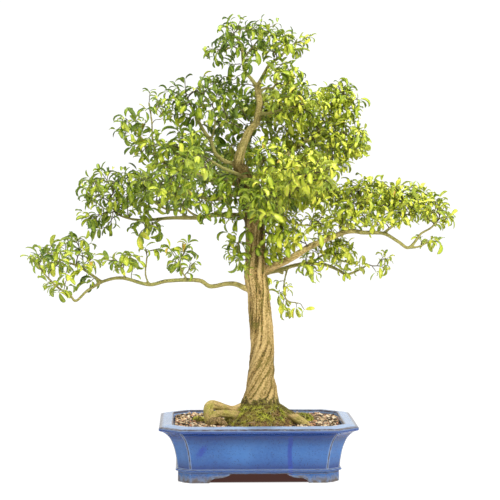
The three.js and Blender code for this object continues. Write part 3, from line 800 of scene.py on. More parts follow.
@dataclass(frozen=True)
class PlainEarth:
    """Fine earth, crumbs or grit in cells of several shades."""

    name: str
    cell: float
    shades: Shades

    def build(self) -> Material:
        """Makes the material."""
        graph = MaterialGraph(self.name, 0.96, specular=0.15)
        place = graph.place()
        cells = graph.add("ShaderNodeTexVoronoi", {"Vector": place, "Scale": 1.0 / self.cell}).outputs
        shade = graph.add("ShaderNodeSeparateColor", {0: cells["Color"]}).outputs[0]
        gaps = graph.remap(cells["Distance"], 0.75, 0.35, 0.35, 1.0)
        shadow = graph.add("ShaderNodeCombineColor", {0: gaps, 1: gaps, 2: gaps}).outputs[0]
        domes = graph.calc("SUBTRACT", 1.0, cells["Distance"])
        height = graph.plus(graph.grain(place, 900.0, 3.0), 0.4, domes)
        return graph.dress(graph.blend(1.0, graph.ramp(shade, self.shades), shadow, "MULTIPLY"),
                           graph.bump(height, 0.8, self.cell * 0.4))


@dataclass(frozen=True)
class Straw:
    """Dry bits of grass and bark, bleached or brown."""

    pale: Colour = srgb(214, 202, 150)
    brown: Colour = srgb(122, 88, 54)

    def build(self) -> Material:
        """Makes the material."""
        graph = MaterialGraph("dry_straw", 0.8)
        streaks = graph.grain(graph.place(), 600.0)
        tone = graph.remap(graph.plus(streaks, 0.3, graph.attribute("tone")), 0.3, 1.1)
        return graph.dress(graph.blend(tone, self.brown, self.pale), graph.bump(streaks, 0.3, 0.4 * MM))


@dataclass(frozen=True)
class Tarnish:
    """A plain stuff that is duller in soft patches, such as dusty plastic or weathered wire."""

    mottle: Mottle
    name: str
    clean: Colour
    dull: Colour
    metallic: float
    patch_scale: float
    patch_edge: tuple[float, float]
    rough: tuple[float, float]
    grain_scale: float
    grain_strength: float
    grain_depth: float

    def build(self) -> Material:
        """Makes the material."""
        graph = MaterialGraph(self.name, self.rough[0], metallic=self.metallic)
        dull = graph.patches(self.mottle, self.patch_scale, 4.0, *self.patch_edge)
        grain = graph.grain(graph.place(), self.grain_scale)
        return graph.dress(graph.blend(dull, self.clean, self.dull),
                           graph.bump(grain, self.grain_strength, self.grain_depth),
                           graph.remap(dull, 0.0, 1.0, *self.rough))


@dataclass
class Finishes:
    """Every finish of the tree and its pot, built once."""

    middle: Vector
    made: dict[str, Material] = field(default_factory=dict)

    BED = ((0.0, srgb(52, 42, 32)), (0.5, srgb(88, 70, 52)), (1.0, srgb(122, 100, 74)))
    CRUMBS = ((0.0, srgb(34, 26, 16)), (0.7, srgb(76, 60, 38)), (1.0, srgb(196, 170, 128)))
    GRIT = ((0.0, srgb(96, 92, 86)), (0.5, srgb(142, 134, 122)), (1.0, srgb(176, 166, 148)))

    def __post_init__(self) -> None:
        """Builds the shared groups and then the materials."""
        mottle = Mottle()
        screen = Tarnish(mottle, "screen_plastic", clean=srgb(34, 36, 36), dull=srgb(92, 84, 72),
                         metallic=0.0, patch_scale=190.0, patch_edge=(0.45, 0.7), rough=(0.45, 0.85),
                         grain_scale=2200.0, grain_strength=0.25, grain_depth=0.3 * MM)
        wire = Tarnish(mottle, "aluminium_wire", clean=srgb(196, 198, 200), dull=srgb(140, 138, 132),
                       metallic=1.0, patch_scale=260.0, patch_edge=(0.4, 0.68), rough=(0.28, 0.6),
                       grain_scale=3000.0, grain_strength=0.15, grain_depth=0.2 * MM)
        finishes = {
            "glaze": Glaze(mottle, Specks(), self.middle), "bark": Bark(mottle), "twigs": TwigSkin(mottle),
            "leaves": LeafBlade(mottle), "moss": MossPile(mottle), "grains": StoneMix(mottle),
            "crumbs": PlainEarth("loose_crumbs", 3 * MM, self.CRUMBS),
            "earth": PlainEarth("dark_earth", 4 * MM, self.BED),
            "grit": PlainEarth("drainage_grit", 8 * MM, self.GRIT),
            "straw": Straw(), "screen": screen, "wire": wire}
        self.made = {name: finish.build() for name, finish in finishes.items()}

    def __getitem__(self, name: str) -> Material:
        """Gives one material by its short name."""
        return self.made[name]


# Places and lines

@dataclass(frozen=True)
class FrontView:
    """The front view that the routes are drawn in, from a place in front of the pot's middle."""

    middle: Vector
    eye_x: float = -16 * MM
    eye_distance: float = 2500 * MM
    eye_height: float = 447 * MM

    def settle(self, route: Route) -> Array:
        """Turns a route of the front view into real places.

        Args:
            route: for each point its x and z as seen at the trunk's depth, then its depth and radius, in
                millimetres from the middle of the pot.

        Returns:
            One row of x, y, z and radius for each point, in metres in the frame.
        """
        x, z, depth, radius = np.array(route, float).T * MM
        share = 1 + depth / self.eye_distance
        return np.stack([self.middle.x + self.eye_x + (x - self.eye_x) * share, self.middle.y + depth,
                         self.eye_height + (z - self.eye_height) * share, radius], axis=1)

    def seen(self, place: Array) -> tuple[float, float, float]:
        """Finds a real place in the front view.

        Args:
            place: the place, in metres in the frame.

        Returns:
            Its x and z as seen at the trunk's depth, and its depth.
        """
        depth = place[1] - self.middle.y
        share = 1 + depth / self.eye_distance
        return (self.eye_x + (place[0] - self.middle.x - self.eye_x) / share,
                self.eye_height + (place[2] - self.eye_height) / share, depth)


def spline(points: Array, step: float) -> Array:
    """Runs a smooth curve through points.

    Args:
        points: one row for each point, whose first three columns are its place.
        step: the longest distance between neighbours on the curve.

    Returns:
        The curve's rows, the other columns smoothed in the same way.
    """
    ends = np.vstack([2 * points[0] - points[1], points, 2 * points[-1] - points[-2]])
    rows = []
    for before, start, end, after in zip(ends, ends[1:], ends[2:], ends[3:]):
        count = max(2, math.ceil(float(np.linalg.norm(end[:3] - start[:3])) / step))
        t = np.arange(count)[:, None] / count
        rows.append(0.5 * (2 * start + (end - before) * t
                           + (2 * before - 5 * start + 4 * end - after) * t ** 2
                           + (3 * start - before - 3 * end + after) * t ** 3))
    rows.append(points[-1:])
    return np.vstack(rows)


class Kind(Enum):
    """What a length of wood is."""

    TRUNK = "trunk"
    ROOT = "root"
    LIMB = "limb"


@dataclass
class WoodLine:
    """The centreline of one root, trunk or limb, with a frame at each of its places."""

    name: str
    kind: Kind
    seed: float
    rows: Array

    # How fast the fibres turn, in radians for each metre, and how much faster in the trunk's twisted foot.
    LIMB_TURN = 9.0
    TRUNK_TURN = 4.0
    FOOT_TURN = 15.0

    def __post_init__(self) -> None:
        """Works out the frames along the line."""
        self.places = self.rows[:, :3]
        self.radii = self.rows[:, 3]
        if self.kind is Kind.LIMB:
            slimmer = self.radii * (0.74 + 0.26 * smoothstep(self.radii, 4.5 * MM, 9 * MM))
            self.radii = np.maximum(slimmer, np.minimum(self.radii, 1.7 * MM))
        self.tangents = unit(np.gradient(self.places, axis=0))
        gaps = np.linalg.norm(np.diff(self.places, axis=0), axis=1)
        self.along = np.concatenate([[0.0], np.cumsum(gaps)])
        side = np.array([0.0, 1.0, 0.0]) if abs(self.tangents[0][0]) > 0.8 else np.array([1.0, 0.0, 0.0])
        sides = []
        for tangent in self.tangents:
            side = unit(side - tangent * side.dot(tangent))
            sides.append(side)
        self.sides = np.array(sides)
        self.ups = np.cross(self.tangents, self.sides)
        self.twists = self.twist()

    def twist(self) -> Array:
        """Gives how far the fibres have turned about the line at each place."""
        if self.kind is not Kind.TRUNK:
            return self.along * self.LIMB_TURN
        heights = self.places[:, 2]
        twisted = smoothstep(-heights, -310 * MM, -230 * MM) * smoothstep(heights, 110 * MM, 160 * MM)
        rate = self.TRUNK_TURN + self.FOOT_TURN * twisted
        return np.concatenate([[0.0], np.cumsum(rate[:-1] * np.diff(self.along))])

    def flute_depth(self) -> Array:
        """Gives how deep the grooves cut at each place, as a share of the radius."""
        if self.kind is Kind.TRUNK:
            return 0.13 + 0.05 * smoothstep(self.radii, 24 * MM, 40 * MM)
        return np.full(len(self.radii), 0.13 if self.kind is Kind.ROOT else 0.1)


def groove(angle: float, along: float, seed: float, count: float) -> float:
    """Gives the wood's relief at one place round a line.

    Args:
        angle: the angle round the line, less the fibres' twist.
        along: the distance along the line.
        seed: a number of the line's own.
        count: how close the broad grooves lie. The fine ones between them lie closer.

    Returns:
        The relief: 0 in a groove, near 1 on a ridge.
    """
    place = Vector((math.cos(angle) * count, math.sin(angle) * count, along * 7 + seed))
    broad = 1 - math.exp(-(noise.noise(place) / 0.17) ** 2)
    place = Vector((place.x * 1.9, place.y * 1.9, along * 15 + seed + 5))
    fine = 1 - math.exp(-(noise.noise(place) / 0.24) ** 2)
    return 0.6 * broad + 0.4 * fine


# Routes of the wood: x and z in the front view, then depth and radius, in millimetres from the pot's middle.
TRUNK: Route = (
    (7, 72, 0, 40), (7, 88, 0, 50), (7, 104, 0, 53), (7, 118, 0, 49), (7, 130, 0, 42), (7, 142, 0, 37.5),
    (8, 169, 0, 31), (7, 191, 0, 27.5), (9, 214, 0, 25.5), (11, 249, 0, 24), (9, 283, 0, 22.7),
    (5, 329, 0, 22), (3, 364, 0, 21.5), (-3, 398, 0, 22), (-3, 430, 0, 20.5), (-3.5, 467, 0, 19.5),
    (-5, 500, 0, 19.8), (-8, 532, 0, 20.5), (-12, 561, 0, 20.5), (-17, 582, 0, 18.5), (-27, 600, 0, 15),
    (-36, 612, 0, 12), (-37, 622, 0, 10.5), (-32, 643, 0, 9), (-24, 665, 0, 8.3), (-15, 684, 0, 7.8),
    (-2, 699, 0, 7.4), (2, 719, 0, 7), (5, 733, 0, 6.6), (2, 759, 0, 6.2), (0, 775, 0, 6),
)
ROOTS: dict[str, Route] = {
    "loop": ((-8, 138, -4, 15), (-31, 133, -10, 9), (-49, 128, -20, 8), (-63, 131, -30, 8),
        (-77, 135, -38, 9), (-90, 138, -42, 9.2), (-97, 135, -46, 9.6), (-99, 126, -49, 9.6),
        (-98, 112, -50, 9.6), (-94, 92, -48, 9)),
    "loop_return": ((-96, 108, -52, 8.6), (-86, 119, -56, 7.4), (-72, 121, -54, 7.2),
        (-56, 120, -46, 7.8), (-34, 115, -34, 11), (-10, 108, -20, 14)),
    "loop_foot": ((-98, 96, -56, 9), (-92, 103, -66, 8), (-82, 106, -72, 7.4), (-72, 102, -74, 6.6),
        (-62, 90, -72, 6)),
    "right": ((18, 134, -8, 15), (40, 132, -16, 10), (52, 126, -26, 8.6), (65, 118, -40, 8.4),
        (80, 109, -52, 8.6), (94, 100, -60, 7.8), (104, 88, -64, 6.4)),
    "back_right": ((20, 128, 20, 15), (40, 118, 44, 12), (58, 104, 66, 9), (70, 90, 80, 6)),
    "back_left": ((-6, 128, 20, 15), (-28, 118, 42, 11), (-48, 104, 62, 8.5), (-60, 90, 74, 6)),
}
LIMBS: dict[str, Route] = {
    "lower_left": ((-6, 366, 0, 8), (-24, 371, -2, 6.6), (-42, 379, -4, 6), (-61, 380, -7, 5.6),
        (-93, 375, -12, 5.4), (-112, 386, -14, 5.4), (-139, 388, -16, 5.2), (-181, 386, -18, 4.8),
        (-216, 379, -18, 4.6), (-262, 391, -14, 4.4), (-286, 391, -10, 4.2), (-313, 383, -6, 4)),
    "lower_left_high": ((-309, 384, -6, 4), (-338, 405, 2, 3.4), (-353, 415, 14, 3), (-374, 422, 28, 2.6),
        (-404, 434, 36, 2)),
    "lower_left_low": ((-309, 384, -6, 4), (-338, 367, -14, 3.4), (-361, 347, -22, 3.2),
        (-374, 359, -28, 3), (-399, 375, -34, 2.6), (-420, 396, -38, 2.2), (-439, 420, -40, 1.8)),
    "lower_left_shoot_outer": ((-262, 390, -14, 2.8), (-268, 410, -28, 2.2), (-262, 430, -40, 1.8)),
    "lower_left_shoot_mid": ((-216, 380, -18, 2.6), (-222, 400, -8, 2.0), (-218, 436, 6, 1.8)),
    "lower_left_shoot_inner": ((-139, 388, -16, 2.6), (-150, 405, -30, 2.0), (-158, 430, -42, 1.8)),
    "left_second": ((-8, 506, 0, 8), (-30, 514, 4, 6.6), (-49, 516, 8, 6.2), (-86, 516, 14, 5.8),
        (-112, 511, 18, 5.4), (-139, 510, 22, 5), (-164, 510, 25, 4.6), (-189, 508, 28, 4.2),
        (-219, 505, 30, 3.6), (-250, 508, 32, 3), (-275, 518, 36, 2.4), (-292, 540, 40, 1.8)),
    "left_second_fork": ((-136, 510, 22, 4), (-154, 524, 32, 3.4), (-177, 526, 46, 3),
        (-200, 538, 60, 2.4), (-216, 554, 70, 1.8)),
    "left_second_front": ((-112, 511, 18, 4), (-126, 518, -10, 3.2), (-140, 530, -42, 2.6),
        (-146, 550, -62, 2)),
    "left_second_low": ((-189, 508, 28, 3.4), (-204, 499, 14, 2.6), (-218, 493, 2, 1.8)),
    "left_third": ((-10, 556, 0, 8), (-45, 558, -14, 5.6), (-86, 549, -34, 5), (-105, 552, -46, 4.6),
        (-135, 562, -66, 4), (-165, 578, -88, 3.2), (-188, 590, -104, 2.4)),
    "upper_left_low": ((-18, 574, 0, 9), (-48, 580, 8, 6.5), (-76, 584, 14, 6), (-97, 586, 18, 5.6),
        (-141, 606, 26, 5), (-167, 606, 30, 4.6), (-197, 632, 34, 4), (-215, 641, 38, 3.6),
        (-225, 664, 40, 3), (-244, 684, 42, 2.2)),
    "upper_left_shoot": ((-197, 632, 34, 3.2), (-206, 665, 20, 2.6), (-208, 700, 10, 2.2),
        (-214, 740, 4, 1.8)),
    "upper_left_low_fork": ((-141, 606, 26, 3.6), (-150, 626, 2, 2.8), (-156, 650, -14, 2)),
    "upper_left": ((-28, 603, 0, 9), (-45, 617, 6, 6), (-65, 623, 14, 5.4), (-82, 638, 22, 5),
        (-91, 662, 30, 4.8), (-106, 684, 36, 4.4), (-113, 697, 40, 4.2), (-124, 720, 44, 3.2),
        (-136, 745, 46, 2.2)),
    "upper_left_inner": ((-91, 662, 30, 3.6), (-84, 684, 26, 2.8), (-82, 710, 22, 2)),
    "right_main": ((4, 400, 0, 10), (17, 408, -6, 8.4), (51, 423, -18, 7.6), (78, 438, -26, 7.2),
        (103, 454, -32, 6.9), (128, 465, -36, 6.6), (151, 475, -38, 6.3), (174, 484, -38, 6),
        (193, 486, -36, 5.6), (212, 483, -34, 5.2), (252, 481, -30, 4.6), (281, 465, -26, 4.2),
        (302, 452, -24, 4), (319, 469, -26, 3.4), (328, 481, -28, 3), (347, 492, -32, 2.6),
        (362, 508, -36, 2)),
    "right_main_side": ((302, 452, -24, 3.4), (323, 454, -16, 2.6), (344, 464, -8, 1.8)),
    "right_main_near": ((174, 484, -38, 4), (185, 505, -30, 3.2), (200, 530, -16, 2.6),
        (208, 554, -4, 2)),
    "right_main_far": ((252, 481, -30, 3.8), (269, 494, -18, 3.2), (288, 506, -4, 2.8),
        (296, 526, 8, 2.4), (288, 545, 14, 1.8)),
    "right_lower": ((4, 397, 0, 9), (24, 403, 14, 6.4), (45, 406, 26, 5.6), (72, 414, 38, 5),
        (98, 418, 48, 4.8), (127, 417, 56, 4.4), (147, 412, 60, 4.2), (164, 404, 62, 3.8),
        (180, 396, 64, 3.4), (206, 406, 68, 2.8), (222, 416, 72, 2.2)),
    "right_lower_fork": ((110, 418, 51, 3.6), (127, 432, 44, 3), (145, 442, 36, 2.4),
        (162, 452, 28, 1.8)),
    "right_lower_stub": ((42, 406, 24, 4.6), (53, 399, 27, 4)),
    "right_lower_hanging": ((62, 411, 33, 2.6), (56, 388, 30, 2.2), (54, 368, 26, 1.9),
        (60, 346, 24, 1.6), (84, 340, 22, 1.4)),
    "right_mid": ((4, 524, -2, 9), (26, 542, -14, 6), (43, 549, -20, 5.4), (59, 561, -26, 4.8),
        (78, 572, -32, 4.4), (100, 586, -40, 3.4), (118, 594, -46, 2.4)),
    "right_mid_low": ((26, 540, -14, 4.2), (44, 524, -24, 3.4), (66, 504, -34, 2.8), (92, 498, -40, 2.4),
        (114, 498, -42, 1.8)),
    "right_mid_front": ((59, 561, -26, 4), (70, 574, -70, 3.4), (86, 588, -118, 2.8), (96, 600, -158, 2)),
    "right_upper": ((-14, 584, 0, 10), (10, 600, 14, 6), (42, 622, 26, 5.4), (75, 645, 34, 4.8),
        (108, 668, 38, 4.2), (138, 692, 40, 3.4), (158, 715, 40, 2.8), (166, 740, 38, 2)),
    "right_upper_low": ((108, 668, 38, 3.6), (140, 666, 26, 3), (168, 662, 12, 2.4), (188, 664, 4, 1.8)),
    "right_upper_high": ((2, 717, 0, 5.4), (24, 720, -16, 4.4), (48, 727, -30, 3.6), (76, 735, -42, 2.6)),
    "top_left": ((0, 770, 0, 5.4), (-11, 786, -4, 4.6), (-25, 804, -8, 4.2), (-29, 831, -10, 3.8),
        (-31, 854, -10, 3.2), (-44, 870, -8, 2.2)),
    "top_middle": ((-29, 826, -10, 3), (-14, 842, -2, 2.4), (2, 862, 4, 1.8)),
    "top_right": ((0, 770, 0, 5.4), (16, 799, 8, 4.2), (25, 813, 12, 4), (43, 827, 18, 3.4),
        (60, 842, 22, 2.4)),
    "top_right_low": ((2, 757, 0, 4.6), (14, 767, -4, 3.4), (32, 770, -10, 2.8), (40, 788, -14, 2)),
    "front_mid": ((2, 512, -6, 8), (6, 530, -44, 5), (9, 546, -82, 4), (12, 562, -116, 2.8)),
    "front_high": ((-14, 576, -6, 8), (-6, 596, -30, 4.4), (4, 614, -54, 3.4), (10, 628, -74, 2.4)),
    "front_left": ((-20, 588, -4, 8), (-45, 602, -50, 5), (-72, 616, -98, 4), (-96, 632, -140, 2.8)),
    "hanging_left": ((-10, 486, -6, 5), (-28, 482, -24, 2.8), (-38, 462, -32, 2.2), (-38, 442, -32, 1.6)),
    "back_left": ((-10, 556, 4, 8), (-34, 570, 58, 6), (-62, 582, 112, 5), (-88, 596, 166, 4),
        (-104, 612, 214, 2.6)),
    "back_right": ((2, 496, 4, 8), (20, 512, 58, 6), (45, 526, 112, 5), (68, 540, 168, 4),
        (84, 554, 218, 2.6)),
    "back_top": ((-18, 672, 2, 6.4), (-4, 690, 44, 4.4), (10, 706, 82, 3.6), (20, 724, 116, 2.6)),
}


@dataclass
class Wood:
    """Roots, trunk, leader and every limb, grown as one piece."""

    view: FrontView
    finishes: Finishes
    voxel: float = 1.9 * MM
    step: float = 2.2 * MM
    cut_below: float = 88 * MM
    tip_taper: float = 0.62
    mean_relief: float = 0.62
    ripple_size: float = 3.6 * MM
    bead_size: float = 4.6 * MM
    fibre_stretch: float = 0.2
    moss_top: float = 174 * MM
    points: list[Array] = field(default_factory=list)
    faces: list[Face] = field(default_factory=list)

    # How many sides a line's section has, and how close its grooves lie.
    SECTIONS = {Kind.TRUNK: (96, 1.9), Kind.ROOT: (20, 0.9), Kind.LIMB: (20, 0.9)}
    LOOP = ("loop", "loop_return", "loop_foot")
    BATCH = 3000

    def __post_init__(self) -> None:
        """Lays out the centrelines."""
        named = [("trunk", Kind.TRUNK, TRUNK)]
        named += [(name, Kind.ROOT, route) for name, route in ROOTS.items()]
        named += [(name, Kind.LIMB, route) for name, route in LIMBS.items()]
        self.lines = [WoodLine(name, kind, 3.7 * order, spline(self.view.settle(route), self.step))
                      for order, (name, kind, route) in enumerate(named)]

    def shell(self, line: WoodLine) -> None:
        """Adds one line's closed fluted tube.

        Args:
            line: the centreline.
        """
        sides, grooves = self.SECTIONS[line.kind]
        angles = 2 * np.pi * np.arange(sides) / sides
        first = len(self.points)
        depths = line.flute_depth()
        last = len(line.places) - 1
        for i, place in enumerate(line.places):
            relief = np.array([groove(a - line.twists[i], line.along[i], line.seed, grooves) for a in angles])
            tip = self.tip_taper if i == last and line.kind is Kind.LIMB else 1.0
            # The skin's smoothing thins slim wood most, and the spare makes up for it.
            spare = (0.1 + 0.3 * float(smoothstep(-line.radii[i], -9 * MM, -3 * MM))) * MM
            reach = line.radii[i] * tip * (1 + depths[i] * (relief - self.mean_relief)) + spare
            self.points.extend(place + np.outer(reach * np.cos(angles), line.sides[i])
                               + np.outer(reach * np.sin(angles), line.ups[i]))
        start_cap = len(self.points)
        self.points += [line.places[0], line.places[-1] + line.tangents[-1] * line.radii[-1] * 0.5]
        end_ring = first + last * sides
        self.faces += ring_faces(first, sides, last + 1)
        for k in range(sides):
            after = (k + 1) % sides
            self.faces += [(start_cap, first + after, first + k),
                           (start_cap + 1, end_ring + k, end_ring + after)]

    def nearest(self, places: Array) -> tuple[Array, Array]:
        """Finds which line, and where on it, each place on the skin belongs to.

        Args:
            places: the places on the skin.

        Returns:
            The number of the line and the number of the place on it, for each.
        """
        centres = np.vstack([line.places for line in self.lines])
        radii = np.concatenate([line.radii for line in self.lines])
        owners = np.concatenate([np.full(len(line.places), order) for order, line in enumerate(self.lines)])
        spots = np.concatenate([np.arange(len(line.places)) for line in self.lines])
        squares = (centres ** 2).sum(1)
        best = np.empty(len(places), int)
        for start in range(0, len(places), self.BATCH):
            block = places[start:start + self.BATCH]
            gaps = (block ** 2).sum(1)[:, None] + squares - 2 * block @ centres.T
            best[start:start + self.BATCH] = (np.sqrt(np.maximum(gaps, 0)) - radii).argmin(1)
        return owners[best], spots[best]

    def dress(self, mesh: Mesh) -> None:
        """Adds the skin's fine relief and stores what the bark's finish reads.

        Args:
            mesh: the wood's skin.
        """
        places = vertex_places(mesh)
        owners, spots = self.nearest(places)
        grain = np.zeros((len(places), 3))
        relief = np.ones(len(places))
        girth = np.zeros(len(places))
        for order, line in enumerate(self.lines):
            chosen = np.flatnonzero(owners == order)
            at = spots[chosen]
            offset = places[chosen] - line.places[at]
            angle = np.arctan2((offset * line.ups[at]).sum(1), (offset * line.sides[at]).sum(1))
            angle = angle - line.twists[at]
            along = line.along[at] + (offset * line.tangents[at]).sum(1)
            girth[chosen] = radius = line.radii[at]
            grain[chosen] = np.stack([np.cos(angle) * radius, np.sin(angle) * radius,
                                      along * self.fibre_stretch + 0.05 * order], axis=1)
            grooves = self.SECTIONS[line.kind][1]
            relief[chosen] = [groove(a, s, line.seed, grooves) for a, s in zip(angle, along)]
        ripple = np.array([noise.fractal(Vector(row), 0.8, 2.1, 3) for row in grain / self.ripple_size])
        beads = np.array([noise.noise(Vector(row)) for row in places / self.bead_size])
        lift = (ripple * 0.5 + beads * 0.55) * MM * np.clip(girth / (16 * MM), 0.2, 1.0)
        move_vertices(mesh, places + vertex_normals(mesh) * lift[:, None])
        roots = np.array([line.kind is Kind.ROOT for line in self.lines])[owners]
        names = np.array([line.name for line in self.lines])[owners]
        height = places[:, 2]
        high = 0.6 * smoothstep(height, 560 * MM, 660 * MM)
        leader = smoothstep(height, 400 * MM, 560 * MM) * (names == "trunk")
        looped = np.isin(names, self.LOOP)
        bare = np.where(names == "right", smoothstep(-height, -136 * MM, -120 * MM), looped)
        looks = {
            "relief": 1 - (1 - relief) * np.clip(girth / (14 * MM), 0.25, 1.0),
            "slim": np.maximum(smoothstep(-girth, -8 * MM, -3 * MM), high) * ~roots,
            # painted shade up the trunk's leader, under the crown, where it is thick
            "leader_shade": leader * smoothstep(girth, 8 * MM, 16 * MM),
            "moss": smoothstep(-height, -self.moss_top, -132 * MM) * (1 - 0.88 * bare),
            "rooty": roots * (0.4 + 0.5 * bare),
            "fibrous": names == "loop_foot",
        }
        for name, values in looks.items():
            set_attribute(mesh, name, values)
        set_attribute(mesh, "grain", grain, "FLOAT_VECTOR")

    def build(self) -> None:
        """Makes the wood and hands it to the frame."""
        for line in self.lines:
            if line.kind is Kind.TRUNK:
                above = line.places[:, 2] > self.cut_below
                line = WoodLine(line.name, line.kind, line.seed, line.rows[above])
            self.shell(line)
        skin = remeshed(mesh_object("wood_shells", self.points, self.faces), "wood", self.voxel, 3)
        self.dress(skin.data)
        seat(skin, ["trunk_and_branches"], self.finishes["bark"])


# Foliage

@dataclass(frozen=True)
class LeafForm:
    """One shape of leaf: oblong, widest past its middle, arched over towards its tip."""

    droop: float
    fold: float
    sweep: float
    length: float = 26 * MM
    width: float = 9.8 * MM
    thickness: float = 0.36 * MM

    # How far along the leaf each ring of four points lies, and the share of the full width there.
    STATIONS = ((0.0, 0.05), (0.13, 0.08), (0.22, 0.44), (0.36, 0.8), (0.52, 0.98), (0.68, 1.0), (0.83, 0.78),
                (0.94, 0.42))

    def build(self, name: str) -> Object:
        """Makes the leaf as a closed mesh, with its base at the origin and its length along +Y.

        Args:
            name: the object's name.

        Returns:
            The leaf.
        """
        points: list[Array] = []
        spine = np.zeros(3)
        before = 0.0
        for along, breadth in (*self.STATIONS, (1.0, 0.0)):
            middle = (before + along) / 2
            pitch = self.droop * middle ** 1.4 - 0.25
            yaw = self.sweep * middle
            across = np.array([math.cos(yaw), -math.sin(yaw), 0.0])
            forward = np.array([math.sin(yaw) * math.cos(pitch), math.cos(yaw) * math.cos(pitch),
                                -math.sin(pitch)])
            spine = spine + forward * (along - before) * self.length
            before = along
            normal = np.cross(across, forward)
            half = breadth * self.width / 2
            reach = across * math.cos(self.fold) * half
            rise = normal * math.sin(self.fold) * half
            depth = normal * self.thickness / 2
            points += [spine - reach + rise, spine + depth, spine + reach + rise, spine - depth]
        points[-4:] = [spine]
        tip = len(points) - 1
        made = mesh_object(name, points, [(0, 3, 2, 1), *ring_faces(0, 4, len(self.STATIONS)), *(
            (tip - 4 + k, tip - 4 + (k + 1) % 4, tip) for k in range(4))])
        self.map_blade(made.data)
        return made

    def map_blade(self, mesh: Mesh) -> None:
        """Stores the leaf's map, its underside and its sharp margin.

        Args:
            mesh: the leaf's mesh.
        """
        stations = [*(along for along, _ in self.STATIONS), 1.0]
        tip = len(mesh.vertices) - 1
        uv = mesh.uv_layers.new(name="leaf_uv")
        for loop in mesh.loops:
            v = loop.vertex_index
            uv.data[loop.index].uv = (0.5 if v == tip else (0.0, 0.5, 1.0, 0.5)[v % 4], stations[v // 4])
        under = [0.0] + [0.0, 0.0, 1.0, 1.0] * len(self.STATIONS)
        set_attribute(mesh, "under", np.array(under), domain="FACE")
        margin = [all(v % 2 == 0 for v in edge.vertices) and edge.vertices[0] % 4 == edge.vertices[1] % 4
                  for edge in mesh.edges]
        mesh.attributes.new("sharp_edge", "BOOLEAN", "EDGE").data.foreach_set("value", np.array(margin))


@dataclass
class Spray:
    """The foliage of one branch end, with the space that its twigs grow through."""

    node: str
    rng: Generator
    spacing: float = 18.5 * MM
    airiness: float = 6.5 * MM
    edge_airiness: float = 3 * MM
    leaf_scale: float = 0.8
    leaf_gain: float = 0.1
    skin: float = 2 * MM
    core: float = 24 * MM
    core_share: float = 0.35
    tries_each: int = 26
    tries_least: int = 60
    twigs: list[list[int]] = field(default_factory=list)

    def __post_init__(self) -> None:
        """Measures the space that the CAD node keeps for the spray."""
        points, faces = merged_node(self.node)
        self.space = BVHTree.FromPolygons([Vector(point) for point in points], faces)
        self.low, self.high = points.min(0), points.max(0)
        self.middle = (self.low + self.high) / 2
        self.settle_habit()

    def settle_habit(self) -> None:
        """Makes the tree's left side airier, with larger leaves."""
        left = float(smoothstep(-self.middle[0], -0.12, 0.1))
        edge = float(smoothstep(-self.middle[0], 0.24, 0.36) + smoothstep(self.middle[2], 0.74, 0.86))
        self.spacing += self.airiness * left + self.edge_airiness * edge
        self.leaf_scale += self.leaf_gain * left

    def depth(self, place: Array) -> float:
        """Gives how deep a place lies inside the space; negative outside it."""
        hit, normal, _, gap = self.space.find_nearest(Vector(place))
        return gap if (Vector(place) - hit).dot(normal) < 0 else -gap

    def targets(self) -> Array:
        """Chooses where the twigs end, spaced apart and mostly near the outside."""
        size = self.high - self.low
        tries = int(self.tries_each * np.prod(size) / self.spacing ** 3) + self.tries_least
        found: list[Array] = []
        for share in self.rng.random((tries, 4)):
            place = self.low + share[:3] * size
            depth = self.depth(place)
            if depth < self.skin or (depth > self.core and share[3] > self.core_share):
                continue
            if not found or np.linalg.norm(np.array(found) - place, axis=1).min() > self.spacing:
                found.append(place)
        return np.array(found)


@dataclass
class InnerSpray(Spray):
    """A few leaves on short shoots close to the wood, in a space with a round outline."""

    middle: Array = field(default_factory=lambda: np.zeros(3))
    half: Array = field(default_factory=lambda: np.ones(3))

    def __post_init__(self) -> None:
        """Measures the space."""
        self.low, self.high = self.middle - self.half, self.middle + self.half
        self.skin = 0.0
        self.settle_habit()

    def depth(self, place: Array) -> float:
        """Gives how deep a place lies inside the space; negative outside it."""
        return float((1 - np.linalg.norm((place - self.middle) / self.half)) * self.half.min())


